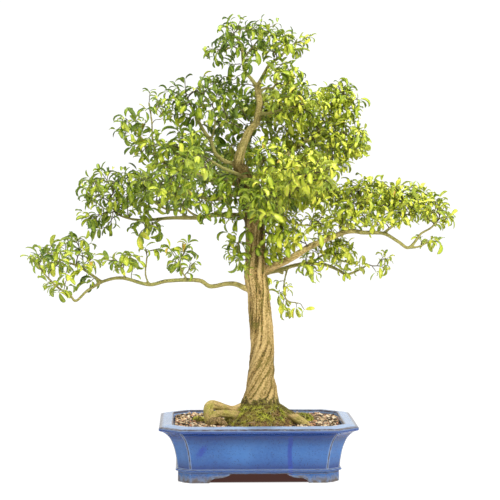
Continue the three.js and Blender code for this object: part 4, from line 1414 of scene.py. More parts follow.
class Growth:
    """A net of places that twigs grow from: limbs first, then the twigs themselves."""

    SLIM = 6.4 * MM
    CROWN_FROM = 400 * MM
    NEAREST = 6 * MM

    def __init__(self, lines: Iterable[WoodLine]) -> None:
        """Starts the net with places on every slim limb and round the upper trunk.

        Args:
            lines: the centrelines of the wood.
        """
        self.places: list[Array] = []
        self.headings: list[Array] = []
        for line in lines:
            if line.kind is Kind.LIMB:
                slim = np.flatnonzero(line.radii < self.SLIM)[::2]
                self.places += list(line.places[slim])
                self.headings += list(line.tangents[slim])
            elif line.kind is Kind.TRUNK:
                high = np.flatnonzero(line.places[:, 2] > self.CROWN_FROM)[::4]
                for turn in np.arange(0, 2 * math.pi, math.pi / 4):
                    outward = line.sides[high] * math.cos(turn) + line.ups[high] * math.sin(turn)
                    self.places += list(line.places[high] + outward * line.radii[high, None] * 0.8)
                    self.headings += list(unit(outward + UP * 0.3))
        self.rooted = len(self.places)
        self.reach = [0.0] * self.rooted
        self.parents = [-1] * self.rooted
        self.loads = [0] * self.rooted

    def best_parent(self, target: Array) -> int:
        """Finds the place that a twig should leave from: near, and with the target ahead of it.

        Args:
            target: where the twig ends.

        Returns:
            The number of the place.
        """
        ways = target - np.array(self.places)
        gaps = np.linalg.norm(ways, axis=1)
        forward = (ways * np.array(self.headings)).sum(1) / np.maximum(gaps, 1e-9)
        cost = gaps * (1.25 - 0.35 * forward) + 0.3 * np.array(self.reach)
        cost[gaps < self.NEAREST] += 1.0
        return int(cost.argmin())

    def add(self, place: Array, heading: Array, step: float, parent: int) -> int:
        """Adds one place.

        Args:
            place: the place.
            heading: the twig's direction there.
            step: the distance from its parent.
            parent: the number of the place before it.

        Returns:
            Its number.
        """
        self.places.append(place)
        self.headings.append(heading)
        self.reach.append(self.reach[parent] + step)
        self.parents.append(parent)
        self.loads.append(0)
        return len(self.places) - 1

    def load(self, tip: int) -> None:
        """Counts one more tip on every twig that carries it."""
        while tip >= self.rooted:
            self.loads[tip] += 1
            tip = self.parents[tip]


class Leaf(NamedTuple):
    """One leaf's place, turn, size, form and tone."""

    place: Array
    turn: Quaternion
    size: float
    form: int
    tone: float


# Each row: x and z in the front view, depth, then half the width, height and depth of an inner spray.
INNER_SPRAYS = (
    (-11, 566, -52, 22, 22, 18), (-10, 522, -40, 10, 14, 12), (-24, 490, -38, 10, 14, 10),
    (4, 458, -36, 8, 18, 10), (-44, 448, -20, 10, 22, 18), (-16, 418, -34, 7, 14, 8),
    (-50, 494, -20, 12, 22, 20), (20, 380, 10, 12, 14, 14), (-216, 524, 10, 16, 14, 30),
    (26, 500, -30, 20, 46, 26), (34, 446, -10, 26, 18, 30), (-64, 578, -30, 46, 30, 40),
    (-72, 532, -20, 44, 26, 40), (-92, 778, 10, 34, 16, 34), (-54, 768, 24, 32, 24, 26),
    (-44, 716, 44, 28, 34, 26), (24, 690, 40, 20, 30, 24), (-30, 648, 62, 30, 34, 26),
    (-76, 690, 66, 30, 26, 26), (-330, 512, 10, 28, 14, 30), (112, 418, 20, 26, 20, 26),
    (250, 508, -40, 46, 10, 30), (30, 536, 78, 34, 28, 32), (54, 550, 132, 32, 24, 28),
    (-40, 584, 74, 34, 26, 32), (-68, 600, 126, 30, 22, 28), (-14, 626, 96, 30, 24, 30),
)
# Each row: x and z in the front view, half a gap's width and height, and the depth up to which it is bare.
CLEARINGS = (
    (-203, 706, 14, 34, 400), (30, 768, 20, 16, 400), (-24, 758, 17, 15, 400), (-76, 672, 26, 24, 26),
    (-98, 696, 18, 26, 32), (-50, 640, 24, 24, 10), (-10, 700, 20, 60, 4), (-24, 640, 24, 26, 2),
    (-78, 418, 28, 26, 400), (-446, 462, 34, 22, 400), (-146, 488, 42, 18, 400), (226, 428, 20, 30, 400),
    (104, 352, 40, 22, 400), (-350, 606, 40, 16, 400), (230, 600, 40, 14, 400), (-176, 784, 22, 12, 400),
    (-256, 742, 44, 16, 400), (-294, 716, 18, 22, 400), (-192, 768, 14, 14, 400), (-24, 920, 44, 12, 400),
    (-98, 876, 18, 26, 400), (-444, 400, 46, 16, 400), (-212, 428, 20, 20, 400), (-84, 636, 20, 18, 24),
)


@dataclass
class Foliage:
    """All twigs and leaves of the crown."""

    wood: Wood
    finishes: Finishes
    seed: int = 41
    sites: tuple[float, ...] = (0.0, 5 * MM, 11 * MM, 19 * MM)
    twig_step: float = 5 * MM
    twig_sides: int = 5
    finest: float = 0.5 * MM
    thickening: float = 0.3 * MM
    palest: float = 0.86
    tone_spread: float = 0.2
    orange_share: float = 0.012

    # Droop, fold and sweep of each leaf form.
    FORMS = ((0.6, 0.6, 0.2), (1.1, 0.5, -0.35), (1.5, 0.45, 0.15), (1.9, 0.5, 0.5), (2.4, 0.6, -0.3),
             (1.2, 0.85, -0.6), (0.9, 0.35, 0.1), (2.0, 0.75, 0.6))
    # A twig's arch: how far on, up and astray its curve's two handles lie, as shares of its length.
    EARLY = (0.42, 0.14, 0.07)
    LATE = (-0.3, 0.1, 0.05)

    def __post_init__(self) -> None:
        """Starts the net that the twigs grow from."""
        self.net = Growth(self.wood.lines)

    def build(self, nodes: Sequence[str]) -> None:
        """Makes the twigs and the leaves and hands them to the frame.

        Args:
            nodes: the CAD nodes of the sprays.
        """
        outer = [Spray(node, default_rng([self.seed, order])) for order, node in enumerate(nodes)]
        inner = []
        for order, (*place, half_x, half_z, half_y) in enumerate(INNER_SPRAYS):
            inner.append(InnerSpray("inner", default_rng([self.seed, 100 + order]),
                                    middle=self.wood.view.settle([(*place, 0)])[0, :3],
                                    half=np.array([half_x, half_y, half_z]) * MM))
        for spray in outer + inner:
            self.grow_twigs(spray)
        self.sweep([twig for spray in outer + inner for twig in spray.twigs])
        forms = FormShelf("leaf_forms", [LeafForm(*form).build(f"leaf_form_{order}")
                                         for order, form in enumerate(self.FORMS)])
        tree = LeafTree()
        groups = [(spray.node.replace("leaves", "foliage", 1), [spray], [spray.node]) for spray in outer]
        for name, sprays, replaced in (*groups, ("foliage_inner", inner, [])):
            leaves = [leaf for spray in sprays for twig in spray.twigs for leaf in self.leaf_out(twig, spray)]
            carrier = self.mark_sites(leaves, f"{name}_sites")
            piece = tree.grow(carrier, name, {"Material": self.finishes["leaves"], "Forms": forms.collection})
            seat(piece, replaced)
        forms.clear()

    def bare(self, place: Array) -> bool:
        """Tells whether a place lies in one of the crown's gaps."""
        x, z, depth = self.wood.view.seen(place)
        return any(depth < until and ((x - gap_x) / half_x) ** 2 + ((z - gap_z) / half_z) ** 2 < 1
                   for gap_x, gap_z, half_x, half_z, until in np.array(CLEARINGS) * MM)

    def grow_twigs(self, spray: Spray) -> None:
        """Grows one twig to each of a spray's targets, nearest to the limbs first.

        Args:
            spray: the spray.
        """
        targets = spray.targets()
        limbs = np.array(self.net.places[:self.net.rooted])
        gaps = [np.linalg.norm(limbs - target, axis=1).min() for target in targets]
        for number in np.argsort(gaps, kind="stable"):
            if not self.bare(targets[number]):
                spray.twigs.append(self.bend_twig(targets[number], spray.rng))

    def bend_twig(self, target: Array, rng: Generator) -> list[int]:
        """Grows one arched twig.

        Args:
            target: where the twig ends.
            rng: the source of chance.

        Returns:
            The numbers of the twig's places in the net, its parent's first.
        """
        parent = self.net.best_parent(target)
        start = self.net.places[parent]
        length = float(np.linalg.norm(target - start))
        way = unit(target - start)
        out = unit(0.5 * self.net.headings[parent] + way)
        early, late = (place + heading * on * length + UP * up * length + rng.normal(0, astray, 3) * length
                       for place, heading, (on, up, astray) in ((start, out, self.EARLY),
                                                                (target, way, self.LATE)))
        count = max(3, math.ceil(length / self.twig_step))
        t = np.linspace(0, 1, count + 1)[:, None]
        s = 1 - t
        curve = s ** 3 * start + 3 * s ** 2 * t * early + 3 * s * t ** 2 * late + t ** 3 * target
        kinks = rng.normal(0, 0.35 * MM, curve.shape)
        kinks[0] = 0
        curve = curve + kinks
        chain = [parent]
        for place, heading in zip(curve[1:], unit(np.gradient(curve, axis=0))[1:]):
            chain.append(self.net.add(place, heading, length / count, chain[-1]))
        self.net.load(chain[-1])
        return chain

    def sweep(self, twigs: Sequence[list[int]]) -> None:
        """Makes one piece of all the twigs, thicker the more they carry.

        Args:
            twigs: for each twig, the numbers of its places.
        """
        points, edges, thickness = [], [], []
        for twig in twigs:
            first = len(points)
            radii = [self.finest + self.thickening * math.sqrt(self.net.loads[spot]) for spot in twig[1:]]
            points += [self.net.places[spot] for spot in twig]
            thickness += [radii[0], *radii[:-1], radii[-1] * 0.6]
            edges += [(k, k + 1) for k in range(first, len(points) - 1)]
        carrier = mesh_object("twig_lines", points, edges=edges)
        set_attribute(carrier.data, "thickness", np.array(thickness))
        set_attribute(carrier.data, "age", (np.array(thickness) - self.finest) / (1.2 * MM))
        seat(TwigTree().grow(carrier, "fine_twigs", {"Material": self.finishes["twigs"],
                                                     "Sides": self.twig_sides}))

    def leaf_out(self, twig: Sequence[int], spray: Spray) -> list[Leaf]:
        """Sets the leaves along the end of one twig, in crossed pairs with a whorl at the tip.

        Args:
            twig: the numbers of the twig's places.
            spray: the spray that it belongs to.

        Returns:
            The leaves.
        """
        rng = spray.rng
        places = np.array([self.net.places[spot] for spot in twig])
        back = np.concatenate([[0.0], np.cumsum(np.linalg.norm(np.diff(places[::-1], axis=0), axis=1))])[::-1]
        outer = 1 - smoothstep(spray.depth(places[-1]), 10 * MM, 34 * MM)
        turn = rng.uniform(0, math.pi)
        leaves = []
        for order, site in enumerate(self.sites):
            if site > back[0] - 2 * MM:
                break
            number = int(rng.integers(2, 4)) if order == 0 else int(rng.integers(0 if order > 1 else 1, 3))
            spot = int(np.abs(back - site).argmin())
            for k in range(number):
                around = turn + order * math.pi / 2 + k * 2 * math.pi / max(number, 2) + rng.normal(0, 0.3)
                leaf = self.set_leaf(twig[spot], around, order == 0, outer, spray)
                if not self.bare(leaf.place):
                    leaves.append(leaf)
        return leaves

    def set_leaf(self, spot: int, around: float, at_tip: bool, outer: float, spray: Spray) -> Leaf:
        """Sets one leaf.

        Args:
            spot: the number of the place that its stalk starts from.
            around: the leaf's angle round the twig.
            at_tip: whether it stands at the twig's tip.
            outer: 1 at the spray's outside, 0 deep inside.
            spray: the spray that it belongs to.

        Returns:
            The leaf.
        """
        rng = spray.rng
        place, heading = self.net.places[spot], self.net.headings[spot]
        side = unit(np.cross(heading, UP + 0.01))
        above = np.cross(side, heading)
        radial = side * math.cos(around) + above * math.sin(around)
        lead = 0.75 if at_tip else 0.35
        blade = unit(heading * lead + radial * 0.85 + rng.normal(0, 0.22, 3) - UP * rng.uniform(-0.25, 0.5))
        face = UP + unit(place - spray.middle) * 0.35 + rng.normal(0, 0.28, 3)
        face = face - blade * face.dot(blade)
        if np.linalg.norm(face) < 0.2:
            face = np.cross(blade, side)
        face = unit(face)
        turn = Matrix(np.stack([np.cross(blade, face), blade, face], axis=1).tolist()).to_quaternion()
        size = spray.leaf_scale * float(np.clip(rng.lognormal(-0.1 if at_tip else 0.02, 0.27), 0.45, 1.5))
        tone = self.tone(place, outer, rng)
        return Leaf(place, turn, size, int(rng.integers(0, len(self.FORMS))), tone)

    def tone(self, place: Array, outer: float, rng: Generator) -> float:
        """Chooses one leaf's tone, with painted light and shade: paler at the spray's outside, at the crown's
        right and lower left, deeper inside and at its top.

        Args:
            place: the leaf's place.
            outer: 1 at the spray's outside, 0 deep inside.
            rng: the source of chance.

        Returns:
            The tone: 0 for a deep green, near 0.9 for a pale one, 1 for orange.
        """
        right = float(smoothstep(place[0], 0.0, 120 * MM))
        left = float(smoothstep(-place[0], 100 * MM, 200 * MM))
        low = float(smoothstep(-place[2], -500 * MM, -460 * MM))
        high = float(smoothstep(place[2], 640 * MM, 800 * MM))
        # Painted light and shade: paler outside, at the right and at the lower left, darker inside and at the
        # top; the random spread is the leaves' own.
        tone = 0.14 + 0.38 * outer + 0.34 * right + 0.12 * left * low - 0.17 * high
        tone = min(self.palest, tone + rng.normal(0, self.tone_spread))
        if rng.random() < self.orange_share:
            tone = rng.uniform(0.97, 1.0)
        return float(np.clip(tone, 0.02, 1.0))

    def mark_sites(self, leaves: Sequence[Leaf], name: str) -> Object:
        """Makes the points that the leaves hang from.

        Args:
            leaves: the leaves.
            name: the name of the points' object.

        Returns:
            The points, with each leaf's turn, size, form and tone.
        """
        carrier = mesh_object(name, [leaf.place for leaf in leaves])
        turns = carrier.data.attributes.new("turn", "QUATERNION", "POINT")
        turns.data.foreach_set("value", np.array([tuple(leaf.turn) for leaf in leaves], np.float32).ravel())
        set_attribute(carrier.data, "size", np.array([leaf.size for leaf in leaves]))
        set_attribute(carrier.data, "form", np.array([leaf.form for leaf in leaves]), "INT")
        set_attribute(carrier.data, "tone", np.array([leaf.tone for leaf in leaves]))
        return carrier


# Pot

def rounded(before: Vector, corner: Vector, after: Vector, fillet: float) -> list[tuple[float, Vector]]:
    """Rounds a corner between two directions: the share of the way round and the place, for each step."""
    start, end = corner + before * fillet, corner + after * fillet
    return [(t, start.lerp(corner, t).lerp(corner.lerp(end, t), t)) for t in (0.0, 0.25, 0.5, 0.75, 1.0)]


@dataclass
class GlazedPot:
    """The rectangular pot with canted corners, flared rim, moulded band and four cloud feet."""

    middle: Vector
    finishes: Finishes
    floor_under: float = 18 * MM
    floor_top: float = 28 * MM
    hole_x: float = 85 * MM
    hole_radius: float = 12 * MM
    hole_sides: int = 40
    fillet: float = 2.6 * MM
    waviness: float = 0.35 * MM
    points: list[tuple[float, float, float]] = field(default_factory=list)
    faces: list[Face] = field(default_factory=list)
    looks: list[tuple[float, float, float]] = field(default_factory=list)

    # Height, half width, half depth and corner cut in millimetres, then how thin the glaze is, which on the
    # rim's top also paints it paler as a highlight, and how pooled it is, which also paints shade on and
    # under the lip, around the band and on the inner wall.
    PROFILE = (
        (18.0, 157.0, 114.0, 24.0, 0.2, 0.3), (21.3, 157.0, 114.0, 24.0, 0.0, 0.6),
        (21.9, 160.4, 117.4, 25.3, 0.6, 0.3), (23.2, 161.6, 118.6, 25.5, 0.0, 0.9),
        (25.0, 161.6, 118.6, 25.5, 0.0, 0.7), (26.2, 160.2, 117.2, 25.5, 0.9, 0.0),
        (26.9, 158.2, 115.2, 25.0, 0.2, 1.0), (28.5, 158.0, 115.0, 25.0, 0.0, 1.0),
        (45.0, 160.0, 117.0, 25.6, 0.0, 0.1), (64.0, 163.6, 120.6, 26.6, 0.0, 0.0),
        (83.0, 170.5, 127.5, 28.7, 0.0, 0.45), (89.0, 174.6, 131.6, 30.0, 0.0, 0.9),
        (94.0, 179.0, 136.0, 31.8, 0.0, 1.0), (98.4, 185.0, 141.5, 35.0, 0.0, 1.0),
        (100.0, 189.5, 145.5, 38.4, 0.0, 1.0), (100.8, 192.6, 148.6, 40.3, 0.0, 1.0),
        (101.8, 194.0, 150.0, 41.0, 0.0, 0.9), (103.8, 194.0, 150.0, 41.0, 0.0, 0.9),
        (105.6, 194.0, 150.0, 41.0, 0.1, 0.9), (107.0, 193.4, 149.4, 40.7, 1.0, 0.0),
        (108.0, 191.2, 147.2, 40.0, 0.8, 0.0), (109.4, 186.4, 142.4, 38.0, 0.45, 0.0),
        (110.8, 180.4, 136.4, 35.8, 0.34, 0.0), (111.8, 174.0, 130.0, 33.5, 0.32, 0.0),
        (112.0, 170.4, 126.4, 32.0, 0.32, 0.0), (111.4, 168.2, 124.2, 31.0, 0.9, 0.0),
        (110.0, 167.0, 123.0, 30.6, 0.8, 0.3), (104.0, 165.0, 121.5, 29.5, 0.0, 0.6),
        (95.0, 162.0, 119.0, 27.0, 0.0, 0.2), (64.0, 154.5, 111.5, 23.0, 0.0, 0.0),
        (34.0, 150.0, 107.0, 21.0, 0.0, 0.0), (29.0, 148.0, 105.0, 20.0, 0.0, 0.0),
        (28.0, 146.0, 103.0, 19.5, 0.0, 0.0),
    )
    SIDE_STEPS = (12, 2, 8, 2)
    # How near each point round a corner lies to the edge: dark thin glaze at the middle and pale beside it,
    # the pale partly a painted highlight.
    CORNER_SHARES = (0.15, 0.7, 1.0, 0.7, 0.15)
    # From the arch's top to the ground: the share of the way down, and the edge's height in millimetres.
    CLOUD = ((0.0, 18.0), (0.14, 14.0), (0.36, 10.5), (0.56, 9.5), (0.8, 8.5), (0.96, 5.0), (1.0, 0.0))
    FOOT_HALF = (157 * MM, 114 * MM)
    FOOT_CUT = 24 * MM
    FOOT_WALL = 14 * MM
    FRONT_ARCH = (53 * MM, 95 * MM)
    SIDE_ARCH = (22 * MM, 60 * MM)

    def ring(self, x: float, y: float, cut: float) -> list[tuple[tuple[float, float], float]]:
        """Lays out one level of the wall, anticlockwise from above.

        Args:
            x: half the width.
            y: half the depth.
            cut: how much of each corner is cut off.

        Returns:
            The points, and for each point how near it is to a rounded corner edge, from 0 to 1.
        """
        corners = [Vector(corner) for corner in (
            (x - cut, y), (-x + cut, y), (-x, y - cut), (-x, -y + cut),
            (-x + cut, -y), (x - cut, -y), (x, -y + cut), (x, y - cut))]
        points: list[tuple[tuple[float, float], float]] = []
        for k, corner in enumerate(corners):
            way = corners[(k + 1) % 8] - corner
            before, after = (corners[k - 1] - corner).normalized(), way.normalized()
            for (_, point), near in zip(rounded(before, corner, after, self.fillet), self.CORNER_SHARES):
                points.append((tuple(point), near))
            first, last = self.fillet * 2.4, way.length - self.fillet * 2.4
            steps = self.SIDE_STEPS[k % 4]
            for step in range(steps + 1):
                points.append((tuple(corner + after * (first + (last - first) * step / steps)), 0.0))
        return points

    def rounded_profile(self) -> Array:
        """Gives the profile with its corners cut twice, so that it turns softly."""
        rows = np.array(self.PROFILE)
        for _ in range(2):
            cuts = np.stack([0.75 * rows[:-1] + 0.25 * rows[1:], 0.25 * rows[:-1] + 0.75 * rows[1:]], axis=1)
            rows = np.vstack([rows[:1], cuts.reshape(-1, rows.shape[1]), rows[-1:]])
        rows[:, :4] *= MM
        return rows

    def body(self) -> None:
        """Adds the wall, the floor and its drain holes."""
        rows = self.rounded_profile()
        size = 0
        for z, half_x, half_y, cut, thin, pooled_and_shaded in rows:
            ring = self.ring(half_x, half_y, cut)
            size = len(ring)
            on_wall = float(smoothstep(z, 24 * MM, 30 * MM) * smoothstep(-z, -103 * MM, -99 * MM))
            on_wall *= half_x > 156 * MM
            for (x, y), near in ring:
                self.points.append((x, y, z))
                self.looks.append((max(thin, near * on_wall * 0.9), pooled_and_shaded, float(z < 19 * MM)))
        self.faces += ring_faces(0, size, len(rows))
        top = (len(rows) - 1) * size
        lower, upper = self.drain_holes()
        self.floor([range(size), *lower], facing=-1)
        self.floor([range(top, top + size), *upper], facing=1)

    def drain_holes(self) -> tuple[list[range], list[range]]:
        """Adds the walls of the two drain holes and gives their lower and upper edges."""
        angles = [2 * math.pi * k / self.hole_sides for k in range(self.hole_sides)]
        levels = ((self.floor_under, 1.1), (self.floor_under + 1 * MM, 1.0), (self.floor_top - 1 * MM, 1.0),
                  (self.floor_top, 1.1))
        lower, upper = [], []
        for x in (-self.hole_x, self.hole_x):
            first = len(self.points)
            for z, share in levels:
                reach = self.hole_radius * share
                self.points += [(x + reach * math.cos(angle), reach * math.sin(angle), z) for angle in angles]
            self.faces += [(b, a, d, c) for a, b, c, d in ring_faces(first, self.hole_sides, len(levels))]
            end = len(self.points)
            self.looks += [(0.0, 0.0, 1.0)] * (end - first)
            lower.append(range(first, first + self.hole_sides))
            upper.append(range(end - self.hole_sides, end))
        return lower, upper

    def floor(self, loops: Sequence[range], facing: int) -> None:
        """Fills the flat area inside the first loop and outside the others.

        Args:
            loops: the numbers of the points round the area and round each hole.
            facing: 1 for a face that looks up, -1 for one that looks down.
        """
        order = [number for loop in loops for number in loop]
        outlines = [[Vector(self.points[number]) for number in loop] for loop in loops]
        for corners in tessellate_polygon(outlines):
            face = tuple(order[corner] for corner in corners)
            a, b, c = (Vector(self.points[number]).xy for number in face)
            self.faces.append(face[::-1] if (b - a).cross(c - b) * facing < 0 else face)

    def cloud_height(self, along: float, arch: tuple[float, float]) -> float:
        """Gives how high the foot's lower edge is at a distance from the side's middle."""
        top, ground = arch
        shares, heights = zip(*self.CLOUD)
        return float(np.interp((along - top) / (ground - top), shares, heights)) * MM

    def foot_line(self) -> list[tuple[float, float, float, float, float]]:
        """Lays out one foot from the front arch round the corner to the side arch.

        Returns:
            For each station the outer place, the inner place and the height of the lower edge.
        """
        half_x, half_y = self.FOOT_HALF
        wall, cut = self.FOOT_WALL, self.FOOT_CUT
        stations = []
        for x in np.linspace(self.FRONT_ARCH[0], half_x - cut - 8 * MM, 26):
            stations.append((x, half_y, x, half_y - wall, self.cloud_height(x, self.FRONT_ARCH)))
        front, side = Vector((half_x - cut, half_y)), Vector((half_x, half_y - cut))
        inner_front = Vector((half_x - wall - 0.75 * cut, half_y - wall))
        inner_side = Vector((half_x - wall, half_y - wall - 0.75 * cut))
        cant = (side - front).normalized()
        for outer, inner, before, after in ((front, inner_front, Vector((-1, 0)), cant),
                                            (side, inner_side, -cant, Vector((0, -1)))):
            for t, place in rounded(before, outer, after, self.fillet):
                shift = inner + (after * t - before * -(t - 1)) * 2 * MM
                stations.append((place.x, place.y, shift.x, shift.y, 0.0))
        for y in np.linspace(half_y - cut - 8 * MM, self.SIDE_ARCH[0], 22):
            stations.append((half_x, y, half_x - wall, y, self.cloud_height(y, self.SIDE_ARCH)))
        return stations

    def foot(self, mirror_x: int, mirror_y: int) -> None:
        """Adds one foot as a closed wall whose top is buried in the body.

        Args:
            mirror_x: the sign of x at the foot's corner.
            mirror_y: the sign of y there.
        """
        top = self.floor_under + 2 * MM
        shoulder = self.floor_under - 0.4 * MM
        first = len(self.points)
        stations = self.foot_line()
        for outer_x, outer_y, inner_x, inner_y, bottom in stations:
            rounding = min(1.4 * MM, 0.3 * (top - bottom))
            high = max(shoulder, bottom + 0.5 * (top - bottom))
            section = ((0.1, bottom), (0.03, bottom + 0.35 * rounding), (0.0, bottom + rounding), (0.0, high),
                       (0.06, top), (0.94, top), (1.0, high), (1.0, bottom + rounding),
                       (0.97, bottom + 0.35 * rounding), (0.9, bottom))
            for share, z in section:
                x = outer_x + (inner_x - outer_x) * share
                y = outer_y + (inner_y - outer_y) * share
                self.points.append((x * mirror_x, y * mirror_y, z))
                low = 1 - float(smoothstep(z, bottom + 0.5 * MM, bottom + 5 * MM))
                self.looks.append((0.35 * low, 0.0, min(1.0, 0.16 + low) if share < 0.5 else 1.0))
        end = len(self.points)
        size = (end - first) // len(stations)
        added = [tuple(range(first, first + size)), tuple(range(end - 1, end - 1 - size, -1))]
        added += [(a, d, c, b) for a, b, c, d in ring_faces(first, size, len(stations))]
        self.faces += [face[::-1] for face in added] if mirror_x * mirror_y < 0 else added

    def build(self) -> None:
        """Makes the pot and hands it to the frame."""
        self.body()
        for mirror in ((1, 1), (-1, 1), (-1, -1), (1, -1)):
            self.foot(*mirror)
        piece = mesh_object("glazed_pot", [(x + self.middle.x, y + self.middle.y, z)
                                           for x, y, z in self.points], self.faces)
        places = vertex_places(piece.data)
        wave = np.array([noise.noise(Vector(row) * 22) for row in places]) * self.waviness
        wave *= smoothstep(places[:, 2], 24 * MM, 34 * MM)
        move_vertices(piece.data, places + vertex_normals(piece.data) * wave[:, None])
        # Per vertex: thin glaze along edges with the pale painted highlight beside it, pooled glaze with
        # painted shade, and bare clay.
        for name, values in zip(("edge", "pool_and_shade", "bare"), np.array(self.looks).T):
            set_attribute(piece.data, name, values)
        piece.data.set_sharp_from_angle(angle=math.radians(38))
        seat(piece, ["pot"], self.finishes["glaze"])


@dataclass(frozen=True)
class DrainageHardware:
    """The screens, clips, tie wire and grit in the pot's floor, kept as the frame has them."""

    finishes: Finishes

    LOOKS = {
        "drainage_screen_left": "screen", "drainage_screen_right": "screen", "screen_clip_left": "wire",
        "screen_clip_right": "wire", "anchor_wire": "wire", "drainage_layer": "grit"}

    def dress(self) -> None:
        """Gives each piece its material."""
        for node, look in self.LOOKS.items():
            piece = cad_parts[node]
            piece.data.materials.clear()
            piece.data.materials.append(self.finishes[look])
            log.info("%s: dressed as %s", node, look)


# Soil and moss

def pebble(name: str, radius: float, rng: Generator) -> Object:
    """Makes one small angular grain.

    Args:
        name: the object's name.
        radius: its rough radius.
        rng: the source of chance.

    Returns:
        The grain, a closed mesh of about two dozen triangles.
    """
    shape = bmesh.new()
    for row in unit(rng.normal(size=(14, 3))) * rng.uniform(0.85, 1.1, (14, 1)) * (1.15, 0.9, 0.72):
        shape.verts.new(row * radius)
    made = bmesh.ops.convex_hull(shape, input=shape.verts)
    bmesh.ops.delete(shape, geom=made["geom_interior"], context="VERTS")
    bmesh.ops.recalc_face_normals(shape, faces=shape.faces)
    grain = mesh_object(name, ())
    shape.to_mesh(grain.data)
    shape.free()
    return grain


def spike_clump(name: str, count: int, height: float, width: float, spread: float, rng: Generator) -> Object:
    """Makes a clump of small closed spikes that lean outwards.

    Args:
        name: the object's name.
        count: how many spikes.
        height: their length.
        width: their width at the foot.
        spread: how far their tips lean out, as a share of the height.
        rng: the source of chance.

    Returns:
        The clump.
    """
    points: list[Array] = []
    faces: list[Face] = []
    for k in range(count):
        angle = 2 * math.pi * (k + rng.uniform(-0.3, 0.3)) / count
        out = np.array([math.cos(angle), math.sin(angle), 0.0])
        side = np.array([-out[1], out[0], 0.0]) * width / 2
        foot = out * width * 0.8 - UP * width
        tip = out * width * 0.8 + (out * spread + UP) * height * rng.uniform(0.7, 1.15)
        a, b, c, d = range(4 * k, 4 * k + 4)
        points += [foot - side, foot + out * width / 2, foot + side, tip]
        faces += [(a, c, b), (a, b, d), (b, c, d), (c, a, d)]
    return mesh_object(name, points, faces)


def stalk(name: str, length: float, radius: float, bend: float, rng: Generator) -> Object:
    """Makes one short bent stalk of dry grass, lying along X.

    Args:
        name: the object's name.
        length: its length.
        radius: its half thickness.
        bend: how far its middle bows, as a share of its length.
        rng: the source of chance.

    Returns:
        The stalk, a closed four-sided tube.
    """
    points: list[tuple[float, float, float]] = []
    for share in (0.0, 0.25, 0.5, 0.75, 1.0):
        bow = bend * length * math.sin(math.pi * share) + rng.normal(0, 0.02) * length
        thick = radius * (1.0 - 0.45 * share)
        x = (share - 0.5) * length
        points += [(x, bow - thick, 0.0), (x, bow, -thick), (x, bow + thick, 0.0), (x, bow, thick)]
    return mesh_object(name, points, [(0, 3, 2, 1), *ring_faces(0, 4, 5), (16, 17, 18, 19)])


class Strewing(NamedTuple):
    """How one kind of small form is strewn: what it is, how close, how large, how turned and how deep."""

    name: str
    slot: str
    finish: str
    spacing: float
    smallest: float
    largest: float
    tumble: float
    sink: float
    seed: int


